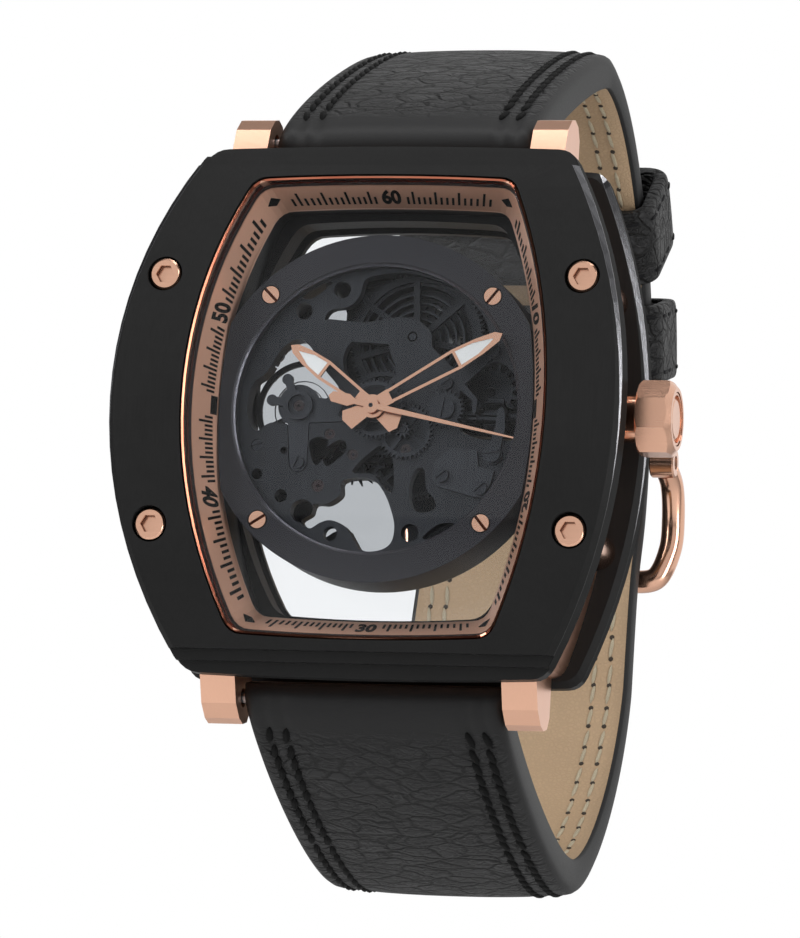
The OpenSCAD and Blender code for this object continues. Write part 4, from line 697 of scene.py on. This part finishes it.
def pebbled_leather(settings, name, smooth_part=False):
    """Pebbled leather: wide cells of two sizes, long cracks across the strap, pores and shinier tops."""
    look = Look(name)
    coarse = {"Vector": look.place, "Scale": 330.0, "Detail": 3.0}
    drift = look.node("ShaderNodeTexNoise", None, coarse)["Color"]
    pull = {0: drift, 1: (0.0026, 0.0022, 0.0022), 2: look.place}
    bent = look.node("ShaderNodeVectorMath", {"operation": "MULTIPLY_ADD"}, pull)[0]
    wide = look.node("ShaderNodeMapping", None, {"Vector": bent, "Scale": (330.0, 600.0, 600.0)})["Vector"]
    large = look.cells(1.0, where=wide).step(0.0, 0.13)
    small = look.cells(2.1, where=wide).step(0.0, 0.16)
    cracks = abs(look.noise(1.0, 3.0, 0.6, look.stretched((150.0, 700.0, 700.0)), 0.4) - 0.5).step(0.0, 0.03)
    pores = look.noise(6000.0, 3.0, 0.7)
    patchy = look.noise(170.0, 2.0).step(0.3, 0.65)
    grain_and_shade = large * (1.0 - patchy * 0.4) * (0.75 + small * 0.25) * (0.55 + cracks * 0.45)
    if smooth_part:
        even = look.node("ShaderNodeAttribute", {"attribute_name": "even"})["Fac"]
        grain_and_shade = grain_and_shade * (1.0 - even) + even * 0.35
    # partly painted shade: the cracks are drawn down to a quarter of the leather colour and the cell tops up
    # to 1.3 times, partly the grain's own tone and partly painted shade and highlight
    color = look.mix(shade(settings.leather, 0.25), shade(settings.leather, 1.3), grain_and_shade)
    rough = 0.54 - grain_and_shade * 0.12 + pores * 0.14
    normal = look.bump(pores, 0.00003, 0.6, look.bump(grain_and_shade, 0.00042, 0.95))
    return look.done(look.principled(color, rough, 0.0, normal, specular_ior_level=0.28))


def lining_leather(settings):
    """Lining: smooth beige leather with fine grain, faint stains and short creases."""
    look = Look("lining_leather")
    stain = look.noise(150.0, 3.0)
    grain = look.cells(2600.0).step(0.0, 0.3)
    creases = look.noise(1.0, 3.0, 0.6, look.stretched((300.0, 2500.0, 2500.0)))
    base = look.mix(shade(settings.lining, 0.78), tuple(settings.lining), stain)
    color = look.mix(shade(settings.lining, 0.7), base, (grain * 0.5 + 0.5) * (0.7 + creases * 0.3))
    normal = look.bump(grain + creases * 0.6, 0.00004, 0.6)
    return look.done(look.principled(color, 0.62 + grain * 0.08, 0.0, normal, specular_ior_level=0.25))


def twisted_thread(name, color):
    """Thread: strands that run round it on a slant, five to the millimetre."""
    look = Look(name)
    where = look.stretched((5000.0,) * 3, (0.5, 0.7, 0.3))
    wave = look.node("ShaderNodeTexWave", None, {"Vector": where, "Scale": 1.0, "Distortion": 1.5})["Fac"]
    tone = look.mix(shade(color, 0.55), color, wave)
    normal = look.bump(wave, 0.00004, 0.8)
    return look.done(look.principled(tone, 0.6 + wave * 0.15, 0.0, normal, specular_ior_level=0.12))


# Pieces


def dress(material, *names):
    """Gives frame nodes a material."""
    for name in names:
        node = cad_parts[name]
        for slot in node.material_slots:
            slot.material = material


def strap_skin(half, name, node, settings, material):
    """Outer leather of one strap half as a closed skin.

    Each ring goes across the padded face, round the painted edge and back across the flat inner face.
    The rings shrink in thickness at both ends, as a quarter circle does.
    """
    count = len(half.way)
    index = np.arange(count)[:, None]
    a = np.linspace(-1, 1, 45)
    a = np.sign(a) * (1 - (1 - np.abs(a)) ** 1.25)
    hw = half.width[:, None] / 2
    x_out = a[None] * hw
    h_out = half.outer_height(index, x_out, settings)
    b = np.linspace(1, -1, 15)
    x_in = b[None] * (hw - 0.12)
    h_in = -half.thick[:, None] / 2 + 0 * x_in
    x_edge = np.stack([hw[:, 0], hw[:, 0]], axis=1)
    h_edge = np.stack([half.thick * 0.12, -half.thick / 2 + 0.15], axis=1)
    x = np.concatenate([x_out, x_edge, x_in, -x_edge[:, ::-1]], axis=1)
    h = np.concatenate([h_out, h_edge, h_in, h_edge[:, ::-1]], axis=1)
    from_end = np.minimum(half.way, half.way[-1] - half.way)
    reach = half.thick / 2
    cap = np.sqrt(np.clip(1 - (1 - np.clip(from_end / reach, 0, 1)) ** 2, 0.02, 1))
    points = half.place(index, x, h * cap[:, None])
    faces = loft_faces(count, x.shape[1], False)
    if half.side > 0:
        faces = [f[::-1] for f in faces]
    piece = add_mesh(name, points, faces, material, "case")
    rim = np.concatenate([np.clip((np.abs(a) - 0.9) / 0.07, 0, 1), np.ones(19)])
    near = np.maximum(np.clip(1 - (half.way - 3.0) / 2.0, 0, 1)[:, None], rim[None])
    even = piece.data.attributes.new("even", "FLOAT", "POINT")
    even.data.foreach_set("value", near.ravel().astype(np.float32))
    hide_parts(node)
    return piece


def strap_lining(half, name, material):
    """Thin lining sheet on the inner face, set in from the edges and ends, as a closed shell."""
    count = len(half.way)
    keep = np.arange(4, count - 3)
    index = keep[:, None]
    hw = half.width[keep][:, None] / 2 - 0.35
    a = np.linspace(-1, 1, 13)[None]
    shown = -half.thick[keep][:, None] / 2 - 0.06 + 0 * a
    top = shown + 0.05 * np.abs(a) ** 12
    x = np.concatenate([a * hw, -a * hw], axis=1)
    h = np.concatenate([top, shown + 0.3], axis=1)
    faces = loft_faces(len(keep), x.shape[1], False)
    if half.side < 0:
        faces = [f[::-1] for f in faces]
    return add_mesh(name, half.place(index, x, h), faces, material, "case")


def stitch_rows(half, settings, inner, start, stop):
    """Places and axes of the stitches of both double rows on one face, from start to stop in mm."""
    length, gap = settings.stitch / MM, (LINING_GAP if inner else -0.35)
    marks = np.arange(start, stop, length + gap)
    index = np.clip(np.searchsorted(half.way, marks), 1, len(half.way) - 2)
    places, axes = [], []
    along = np.stack([0 * marks, half.slopes[index, 0], half.slopes[index, 1]], axis=1)
    out = np.stack([0 * marks, half.out[index, 0], half.out[index, 1]], axis=1)
    for sign in (-1, 1):
        for row in STITCH_ROWS:
            x = sign * (half.width[index] / 2 - row)
            if inner:
                height = -half.thick[index] / 2 - 0.07
            else:
                height = half.outer_height(index, x, settings) + 0.02
            places.append(half.place(index, x, height))
            lean = np.array([(0.09 if inner else 0.22) * sign, 0, 0])
            line = along + lean
            line /= np.linalg.norm(line, axis=1)[:, None]
            axes.append(np.stack([line, np.cross(out, line), out], axis=1))
    return np.concatenate(places), np.concatenate(axes)


def lay_beads(name, half, settings, material, inner, size, start, stop):
    """Beads of one size, in metres, at every stitch place of a face."""
    points, faces = bead(*size)
    places, axes = stitch_rows(half, settings, inner, start, stop)
    moved, all_faces = repeat_shape(points, faces, places, axes)
    return add_mesh(name, moved, clean_faces(all_faces), material, "case")


def keeper_loop(name, node, body, place, tilt, depth, settings, materials):
    """A leather keeper: a rounded band section carried round a rounded rectangle, with stitches at each rim.

    The path is a rectangle whose corners are quarter circles. Each section point lies off the path along its
    outward normal, and along the strap.
    """
    wall, width, r = 1.3, 7.0, 1.7
    half_w, half_d = (settings.tip_width / MM + 0.7) / 2 + wall / 2, depth / 2 + wall / 2
    turns = np.linspace(0, np.pi / 2, 9)
    path, normal = [], []
    for k, (cx, cy) in enumerate([(1, 1), (-1, 1), (-1, -1), (1, -1)]):
        angle = turns + k * np.pi / 2
        n = np.stack([np.cos(angle), np.sin(angle)], axis=1)
        path.append(np.array([cx * (half_w - r), cy * (half_d - r)]) + n * r)
        normal.append(n)
    path, normal = np.concatenate(path), np.concatenate(normal)
    fine_path, fine_normal = [], []
    for i in range(len(path)):
        j = (i + 1) % len(path)
        steps = max(1, int(np.linalg.norm(path[j] - path[i]) / 0.8))
        t = np.arange(steps)[:, None] / steps
        fine_path.append(path[i] + (path[j] - path[i]) * t)
        fine_normal.append(normal[i] + (normal[j] - normal[i]) * t)
    path, normal = np.concatenate(fine_path), np.concatenate(fine_normal)
    normal /= np.linalg.norm(normal, axis=1)[:, None]
    s = np.linspace(0, 2 * np.pi, 32, endpoint=False)
    sec_n = np.sign(np.sin(s)) * np.abs(np.sin(s)) ** 0.35 * wall / 2
    sec_z = np.sign(np.cos(s)) * np.abs(np.cos(s)) ** 0.25 * width / 2
    sec_n = sec_n + np.where(np.sin(s) > 0, 0.06 * (1 - (2 * sec_z / width) ** 4), 0)
    flat = path[:, None, :] + normal[:, None, :] * sec_n[None, :, None]
    z = np.broadcast_to(sec_z[None], flat.shape[:2])
    local = np.concatenate([flat, z[..., None]], axis=-1)
    c, sn = math.cos(math.radians(tilt)), math.sin(math.radians(tilt))
    turn = np.array([[1, 0, 0], [0, c, sn], [0, -sn, c]])
    points = (local @ turn + np.array([0, *place])) * MM
    faces = [f[::-1] for f in loft_faces(len(path), len(s), True)]
    piece = add_mesh(name, points, faces, materials[0], body)
    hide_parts(node)
    way = np.concatenate([[0], np.cumsum(np.linalg.norm(np.diff(path, axis=0), axis=1))])
    marks = np.arange(0.3, way[-1] - 1.2, KEEPER_PITCH)
    at = np.stack([np.interp(marks, way, path[:, k]) for k in (0, 1)], axis=1)
    n = np.stack([np.interp(marks, way, normal[:, k]) for k in (0, 1)], axis=1)
    n /= np.linalg.norm(n, axis=1)[:, None]
    along = np.stack([-n[:, 1], n[:, 0], 0 * marks], axis=1)
    out = np.stack([n[:, 0], n[:, 1], 0 * marks], axis=1)
    places, axes = [], []
    for rim in (-1, 1):
        height = np.full((len(marks), 1), rim * (width / 2 - 1.0))
        p = np.concatenate([at + n * (wall / 2 + 0.03), height], axis=1)
        places.append((p @ turn + np.array([0, *place])) * MM)
        axes.append(np.stack([along @ turn, np.cross(out, along) @ turn, out @ turn], axis=1))
    points, faces = bead(*KEEPER_STITCH)
    moved, all_faces = repeat_shape(points, faces, np.concatenate(places), np.concatenate(axes))
    add_mesh(name + "_stitches", moved, clean_faces(all_faces), materials[1], body)


def buckle_frame(name, material):
    """Smooth buckle frame: a round rod through the frame's route points, and an eye at each end of it.

    The route is a Catmull-Rom curve. Between its points b and c it is
    0.5 (2 b + (c - a) f + (2 a - 5 b + 4 c - d) f^2 + (3 b - a - 3 c + d) f^3).
    """
    route = np.array(BUCKLE_ROUTE)
    t = np.linspace(0, len(route) - 1.0001, 90)
    i, f = np.floor(t).astype(int), (t % 1)[:, None]
    last = len(route) - 1
    a, b, c, d = route[np.maximum(i - 1, 0)], route[i], route[i + 1], route[np.minimum(i + 2, last)]
    half = 0.5 * (2 * b + (c - a) * f + (2 * a - 5 * b + 4 * c - d) * f**2 + (3 * b - a - 3 * c + d) * f**3)
    half = half[np.hypot(half[:, 1] - BUCKLE_AT[0], half[:, 2] - BUCKLE_AT[1]) > 0.95]
    path = np.concatenate([half, half[::-1] * (-1, 1, 1)])
    along = np.gradient(path, axis=0)
    along /= np.linalg.norm(along, axis=1)[:, None]
    lead = np.array([0, 1, 0.35])
    side = lead - along * (along @ lead)[:, None]
    side /= np.linalg.norm(side, axis=1)[:, None]
    across = np.cross(along, side)
    turn = np.linspace(0, 2 * np.pi, 24, endpoint=False)
    circle = np.cos(turn)[None, :, None] * side[:, None] + np.sin(turn)[None, :, None] * across[:, None]
    points = [(path[:, None] + ROD_R * circle).reshape(-1, 3)]
    faces = outward(points[0], loft_faces(len(path), 24, False))
    section = np.array([(-1.1, 0.62), (1.1, 0.62), (1.1, 1.2), (0.95, 1.35), (-0.95, 1.35), (-1.1, 1.2)])
    around = np.linspace(0, 2 * np.pi, 40, endpoint=False)[:, None]
    for right in (-1, 1):
        start = sum(len(p) for p in points)
        x = right * EYE_X + section[None, :, 0] + 0 * around
        y = BUCKLE_AT[0] + section[None, :, 1] * np.cos(around)
        z = BUCKLE_AT[1] + section[None, :, 1] * np.sin(around)
        points.append(np.stack([x, y, z], axis=-1).reshape(-1, 3))
        faces += [[start + v for v in q] for q in outward(points[-1], loft_faces(40, 6, True))]
    piece = add_mesh(name, np.concatenate(points) * MM, faces, material, "buckle")
    piece.data.set_sharp_from_angle(angle=math.radians(40))
    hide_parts("buckle_frame")


def ray_along(upright, angle, across):
    """Mm along a side where a ray from the dial's centre meets a row of the slope: y = x(y) tan(angle)."""
    w, h, r, _ = slope_row(across)
    if not upright:
        return h * math.tan(angle)
    y = 0.0
    for _ in range(60):
        y = 0.5 * y + 0.5 * (w - r + math.sqrt(r * r - y * y)) * math.tan(angle)
    return y


def track_bars(print_settings):
    """Printed bars: side, places along it at the outer and inner row, half width along it, and both rows."""
    half_line = print_settings.line / MM / 2
    bars = []
    for side in ("left", "right", "top", "bottom"):
        upright = side in ("left", "right")
        figure_at, reach = (5, 15.6) if upright else (0, 8.3)
        for k in range(1, 40 if upright else 20):
            angle = math.radians(QUARTER_MINUTE * k)
            near = 0.27 if k % 4 == 0 else 0.5
            rows = [ray_along(upright, angle, across) for across in (near, BAR_END)]
            if abs(k / 4 - figure_at) < 0.55 or rows[1] > reach or (upright and k < 3):
                continue
            half = half_line / math.cos(angle) ** 0.5
            for sign in (-1, 1):
                bars.append((side, sign * rows[0], sign * rows[1], half, near, BAR_END))
    for side in ("left", "right"):
        bars.append((side, 0.0, 0.0, 0.75, 0.7, 0.95))
    return bars


def add_track(settings, material):
    """Minute lines, blocks and corner diamonds: thin slabs whose corners lie on the printed slope."""
    slabs, faces = [], []
    lift = np.array([-0.02] * 4 + [0.03] * 4)
    for side, outer, inner, half, near, far in track_bars(settings):
        along = np.array([outer - half, outer + half, inner + half, inner - half] * 2)
        slabs.append(band_point(side, along, np.array([near, near, far, far] * 2), lift))
    for right in (-1, 1):
        for up in (-1, 1):
            share, across = np.array([0.2, 0.5, 0.8, 0.5] * 2), np.array([0.47, 0.3, 0.47, 0.64] * 2)
            slabs.append(corner_point(right, up, share, across, lift))
    quads = [[0, 1, 2, 3], [4, 7, 6, 5], [0, 4, 5, 1], [1, 5, 6, 2], [2, 6, 7, 3], [3, 7, 4, 0]]
    for k, slab in enumerate(slabs):
        out = np.cross(slab[1] - slab[0], slab[2] - slab[0]) @ (slab[0] - slab[4])
        faces += [[8 * k + v for v in (q if out > 0 else q[::-1])] for q in quads]
    add_mesh("minute_track", np.stack(slabs), faces, material, "case", smooth=False)


def figure_mesh(text):
    """Points and faces of a number in the built-in font, centred, and 1 unit wide, high and thick."""
    curve = bpy.data.curves.new("figure", "FONT")
    curve.body = text
    curve.align_x = "CENTER"
    curve.align_y = "CENTER"
    curve.offset = 0.04
    curve.extrude = 0.5
    curve.resolution_u = 4
    writer = bpy.data.objects.new("figure", curve)
    bpy.context.scene.collection.objects.link(writer)
    bpy.context.view_layer.update()
    mesh = bpy.data.meshes.new_from_object(writer.evaluated_get(bpy.context.evaluated_depsgraph_get()))
    points = np.empty(len(mesh.vertices) * 3)
    mesh.vertices.foreach_get("co", points)
    points = points.reshape(-1, 3)
    faces = [list(p.vertices) for p in mesh.polygons]
    bpy.data.meshes.remove(mesh)
    bpy.data.objects.remove(writer)
    bpy.data.curves.remove(curve)
    low, high = points.min(axis=0), points.max(axis=0)
    return (points - (low + high) / 2) / (high - low), faces


FIGURES = [  # text, side, mm along it, reading direction along it, and 1 where the tops point inwards
    ("60", "top", 0.0, 1, -1),
    ("30", "bottom", 0.0, 1, 1),
    ("50", "left", 7.55, 1, -1),
    ("40", "left", -7.55, -1, 1),
    ("10", "right", 7.55, -1, -1),
    ("20", "right", -7.55, 1, 1),
]


def add_figures(settings, material):
    """Numbers laid on the slope: width along the side, height across it, thickness off it."""
    all_points, all_faces, start = [], [], 0
    for text, side, at, reading, tops in FIGURES:
        points, faces = figure_mesh(text)
        along = at + reading * points[:, 0] * settings.figure / MM
        across = 0.5 + tops * points[:, 1] * 0.62
        all_points.append(band_point(side, along, across, 0.005 + points[:, 2] * 0.05))
        all_faces += [[v + start for v in f] for f in faces]
        start += len(points)
    points = np.concatenate(all_points)
    add_mesh("minute_figures", points, all_faces, material, "case", smooth=False)


# Operators


class WATCH_OT_case(bpy.types.Operator):
    """Finish the case, bezel, crown, screws and seals"""

    bl_idname = "watch.case"
    bl_label = "Case"

    def execute(self, context):
        metals = context.scene.watch_metals
        dress(coated_steel(metals, BEZEL, "bezel_black", CASE_TOP, True), "bezel")
        dress(coated_steel(metals, BACK, "back_black", 2.0, False), "back_plate")
        holder = plain("holder_black", linear("#0c0c0e"), 0.45, 0.0, specular_ior_level=0.15)
        dress(holder, "movement_holder")
        dress(rose_gold(metals, "gold_brushed", 0.24, 0.8, 2), "middle_case")
        dress(rose_gold(metals, "gold_polished", 0.14), "crown_tube", "case_pillars", "case_back_screws")
        dress(screw_gold(metals, "gold_bezel_screws", BEZEL_SCREW_TOP, 0.17, 0.5), "bezel_screws")
        dress(screw_gold(metals, "gold_ring_screws", RING_SCREW_TOP, 0.06, 0.6), "dial_ring_screws")
        dress(rose_gold(metals, "gold_crown", 0.2, 0.35, 0), "crown", "crown_cap")
        dress(chapter_gold(metals), "chapter_ring")
        dress(plain("seal_rubber", linear("#0d0d0e"), 0.6), "case_gaskets", "crown_gasket")
        dress(plain("bar_steel", linear("#9a9a9c"), 0.3, 1.0), "spring_bars", "buckle_bar")
        return {"FINISHED"}


STEEL = ("barrel_arbor", "mainspring", "ratchet_wheel", "crown_wheel", "click", "click_spring")
STEEL += ("minute_wheel", "hour_wheel", "setting_wheel", "escape_wheel", "pallet_fork", "hairspring")
STEEL += ("winding_stem", "winding_pinion", "sliding_pinion", "setting_lever", "yoke", "movement_screws")
PLATES = [  # name, share of the plate colour, nodes, brushing axis, lines per mm, roughness and metal share
    ("plate_grained", 1.0, ("main_plate",), 2, 5.0),
    ("bridge_grained", 0.55, ("train_bridge", "barrel_bridge"), 0, 5.0),
    ("cover_grained", 1.35, ("keyless_cover", "balance_cock"), 2, 6.0, 0.3),
    ("barrel_grained", 0.8, ("barrel",), 0, 6.0),
    ("wheel_grained", 0.95, ("centre_wheel", "fourth_wheel", "third_wheel"), 0, 7.0, 0.28, 0.85),
    ("balance_black", 0.3, ("balance_wheel",), 0, 7.0, 0.4, 0.3),
    ("steel_dark", 1.3, STEEL, 0, 7.0, 0.25, 0.9),
]


class WATCH_OT_movement(bpy.types.Operator):
    """Finish the dial ring, plates, wheels, jewels and hands"""

    bl_idname = "watch.movement"
    bl_label = "Movement and hands"

    def execute(self, context):
        metals = context.scene.watch_metals
        dress(ring_metal(metals), "dial_ring")
        for name, share, nodes, *rest in PLATES:
            dress(dark_plate(name, shade(metals.plate, share), *rest), *nodes)
        gold = rose_gold(metals, "gold_hands", 0.18, 0.3, 2)
        dress(gold, "hour_hand", "minute_hand", "seconds_hand", "cannon_pinion")
        dress(plain("hand_filling", tuple(metals.lume), 0.55, 0.0, 9000.0, 0.06), "hour_lume", "minute_lume")
        dress(plain("jewel_red", linear("#1f0e13"), 0.12, 0.0, 800.0), "jewels")
        return {"FINISHED"}


class WATCH_OT_crystals(bpy.types.Operator):
    """Finish the front and back crystals"""

    bl_idname = "watch.crystals"
    bl_label = "Crystals"

    def execute(self, context):
        dress(clear_crystal("front_glass", 0.25), "front_crystal")
        dress(clear_crystal("back_glass", 0.3, "#d6d8da"), "back_crystal")
        return {"FINISHED"}


class WATCH_OT_printing(bpy.types.Operator):
    """Add the minute track and its numbers"""

    bl_idname = "watch.printing"
    bl_label = "Minute track"

    def execute(self, context):
        settings = context.scene.watch_print
        ink = plain("track_ink", tuple(settings.ink), 0.6, 0.0, 9000.0, 0.3, specular_ior_level=0.08)
        add_track(settings, ink)
        add_figures(settings, ink)
        return {"FINISHED"}


class WATCH_OT_strap(bpy.types.Operator):
    """Add both strap halves with their lining, stitches and holes"""

    bl_idname = "watch.strap"
    bl_label = "Strap"

    def execute(self, context):
        settings = context.scene.watch_strap
        leather = pebbled_leather(settings, "black_leather_pebbled", True)
        lining = lining_leather(settings)
        black_thread = twisted_thread("thread_black", linear("#060606"))
        pale_thread = twisted_thread("thread_pale", tuple(settings.thread))
        # painted shade: the needle holes in the lining are dark brown beads that stand for the shade inside
        # each hole
        hole = plain("needle_hole_shade", linear("#2a2118"), 0.8)
        tip = settings.tip_width / MM
        upper = StrapHalf(UPPER_ROUTE, 1, tip, settings)
        lower = StrapHalf(LOWER_ROUTE, -1, tip - 0.8, settings)
        upper_slot = ((-1.4, 20.2, 0), (1.4, 30.2, 8.2))
        lower_slot = ((-1.1, 23.9, -1), (1.1, 32.9, 4.8))
        holes = [((0, 27, z), 1, HOLE_R, 4.5) for z in STRAP_HOLES]
        cuts = (("upper", upper, upper_slot, []), ("lower", lower, lower_slot, holes))
        for name, half, slot, rods in cuts:
            skin = strap_skin(half, f"strap_{name}_skin", f"strap_{name}", settings, leather)
            sheet = strap_lining(half, f"strap_{name}_lining", lining)
            for piece in (skin, sheet):
                carve(piece, [box_cutter(*slot), *(rod_cutter(*rod) for rod in rods)])
        for name, half in (("upper", upper), ("lower", lower)):
            stop = half.way[-1] - 9
            before = 5.0 - (settings.stitch / MM + LINING_GAP) / 2
            outer = (settings.stitch, 0.00062, 0.0006)
            inner = (settings.stitch, 0.00034, 0.00026)
            needle = (0.00045, 0.00042, 0.00014)
            lay_beads(f"stitches_{name}", half, settings, black_thread, False, outer, 4.0, stop)
            lay_beads(f"lining_stitches_{name}", half, settings, pale_thread, True, inner, 5.0, stop)
            # dark beads of painted shade at the needle holes
            lay_beads(f"lining_holes_{name}", half, settings, hole, True, needle, before, stop)
        return {"FINISHED"}


class WATCH_OT_keepers(bpy.types.Operator):
    """Add the two strap keepers and finish the buckle"""

    bl_idname = "watch.keepers"
    bl_label = "Keepers and buckle"

    def execute(self, context):
        settings = context.scene.watch_strap
        leather = pebbled_leather(settings, "black_leather_keeper")
        thread = twisted_thread("thread_keeper", linear("#1a1a1c"))
        both = (leather, thread)
        keeper_loop("keeper_fixed", "fixed_keeper", "case", (25.5, 17.0), 16.4, 7.3, settings, both)
        keeper_loop("keeper_free", "free_keeper", "keeper_loop", (20.6, 26.4), 36.9, 8.0, settings, both)
        gold = rose_gold(context.scene.watch_metals, "gold_buckle", 0.15, 0.1, 0)
        dress(gold, "buckle_tongue")
        buckle_frame("buckle_frame_smooth", gold)
        return {"FINISHED"}


CAMERA = {  # turn, tilt and roll in degrees, the rest in mm
    "turn": 14.42,
    "tilt": 9.6,
    "roll": 3.25,
    "away": 489.0,
    "aim": (2.45, -32.5, -4.98),
    "lens": 235.2,
}
FLOOR_Z = -0.16  # metres


def camera_place():
    """Camera matrix: looks along a turned and tilted direction at the aim, then rolls clockwise."""
    turn, tilt, roll = (math.radians(CAMERA[k]) for k in ("turn", "tilt", "roll"))
    side = Vector((math.cos(turn), math.sin(turn), 0))
    ahead = Vector((-math.sin(turn) * math.cos(tilt), math.cos(turn) * math.cos(tilt), math.sin(tilt)))
    up = side.cross(ahead)
    right = math.cos(roll) * side + math.sin(roll) * up
    top = math.cos(roll) * up - math.sin(roll) * side
    place = Matrix((right, top, -ahead)).transposed().to_4x4()
    place.translation = (Vector(CAMERA["aim"]) - ahead * CAMERA["away"]) * MM
    return place


def add_lamp(name, at, size, power):
    """A square soft lamp that faces the case."""
    lamp = bpy.data.lights.new(name, "AREA")
    lamp.shape = "RECTANGLE"
    lamp.size, lamp.size_y = size
    lamp.energy = power
    placed = bpy.data.objects.new(name, lamp)
    placed.location = at
    placed.rotation_euler = (Vector((0, -0.02, 0)) - Vector(at)).to_track_quat("-Z", "Y").to_euler()
    bpy.context.scene.collection.objects.link(placed)


def room_seen(look, front):
    """Brightness that glossy rays meet by direction: the white backdrop, dark sides and a dim front."""
    x, y, _ = look.axes(1.0)
    backdrop = (x * 0.5 + y).step(0.25, 0.65) * 0.95 + 0.05
    card = y.step(-0.55, -0.9) * (front - 0.05) + 0.05
    return backdrop.most(card)


def room_world(light):
    """White for the camera and through glass, dim for the light on pieces, and the room for reflections."""
    look = Look("room", world=True)
    path = look.node("ShaderNodeLightPath")
    shown = path["Is Camera Ray"].most(path["Is Transmission Ray"]) * (1.0 - light.sky) + light.sky
    mirrored = room_seen(look, light.front)
    strength = look.node("ShaderNodeMix", None, {0: path["Is Glossy Ray"], 2: shown, 3: mirrored})[0]
    glow = {"Color": (1.0, 1.0, 1.0), "Strength": strength}
    white = look.node("ShaderNodeBackground", None, glow)["Background"]
    return look.done(white, "ShaderNodeOutputWorld")


class WATCH_OT_stage(bpy.types.Operator):
    """Add the floor, the light, the room and the camera"""

    bl_idname = "watch.stage"
    bl_label = "Stage"

    def execute(self, context):
        scene = context.scene
        light = scene.watch_light
        camera = bpy.data.cameras.new("camera")
        camera.lens = CAMERA["lens"]
        camera.sensor_width = 36
        camera.clip_start = 0.01
        placed = bpy.data.objects.new("camera", camera)
        placed.matrix_world = camera_place()
        scene.collection.objects.link(placed)
        scene.camera = placed
        mesh = bpy.data.meshes.new("floor")
        corners = [(x, y, FLOOR_Z) for x, y in ((-1, -1), (1, -1), (1, 1), (-1, 1))]
        mesh.from_pydata(corners, [], [[0, 1, 2, 3]])
        mesh.materials.append(plain("floor_white", (0.8, 0.8, 0.8), 0.8, 0.0, 40.0, 0.02))
        floor = bpy.data.objects.new("floor", mesh)
        scene.collection.objects.link(floor)
        add_lamp("key", (-0.42, -0.36, 0.22), (0.22, 0.5), light.key)
        add_lamp("fill", (0.45, -0.22, 0.05), (0.16, 0.5), light.fill)
        add_lamp("top", (0.0, -0.15, 0.5), (0.5, 0.25), light.fill)
        scene.world = room_world(light)
        scene.view_settings.view_transform = "Standard"
        return {"FINISHED"}


STEPS = (
    WATCH_OT_case,
    WATCH_OT_movement,
    WATCH_OT_crystals,
    WATCH_OT_printing,
    WATCH_OT_strap,
    WATCH_OT_keepers,
    WATCH_OT_stage,
)
GROUPS = {
    "watch_metals": WatchMetals,
    "watch_print": WatchPrint,
    "watch_strap": WatchStrap,
    "watch_light": WatchLight,
}


class WATCH_PT_panel(bpy.types.Panel):
    """Buttons of the watch's pieces and their settings"""

    bl_idname = "WATCH_PT_panel"
    bl_label = "Skeleton wristwatch"
    bl_space_type = "VIEW_3D"
    bl_region_type = "UI"
    bl_category = "Watch"

    def draw(self, context):
        for name, group in GROUPS.items():
            column = self.layout.column(align=True)
            for key in group.__annotations__:
                column.prop(getattr(context.scene, name), key)
        for step in STEPS:
            self.layout.operator(step.bl_idname)


def register():
    for name, group in GROUPS.items():
        bpy.utils.register_class(group)
        setattr(bpy.types.Scene, name, bpy.props.PointerProperty(type=group))
    for item in (*STEPS, WATCH_PT_panel):
        bpy.utils.register_class(item)


def unregister():
    for item in (WATCH_PT_panel, *reversed(STEPS)):
        bpy.utils.unregister_class(item)
    for name, group in GROUPS.items():
        delattr(bpy.types.Scene, name)
        bpy.utils.unregister_class(group)


def main():
    register()
    bpy.ops.watch.case()
    bpy.ops.watch.movement()
    bpy.ops.watch.crystals()
    bpy.ops.watch.printing()
    bpy.ops.watch.strap()
    bpy.ops.watch.keepers()
    bpy.ops.watch.stage()


if __name__ == "__main__":
    main()
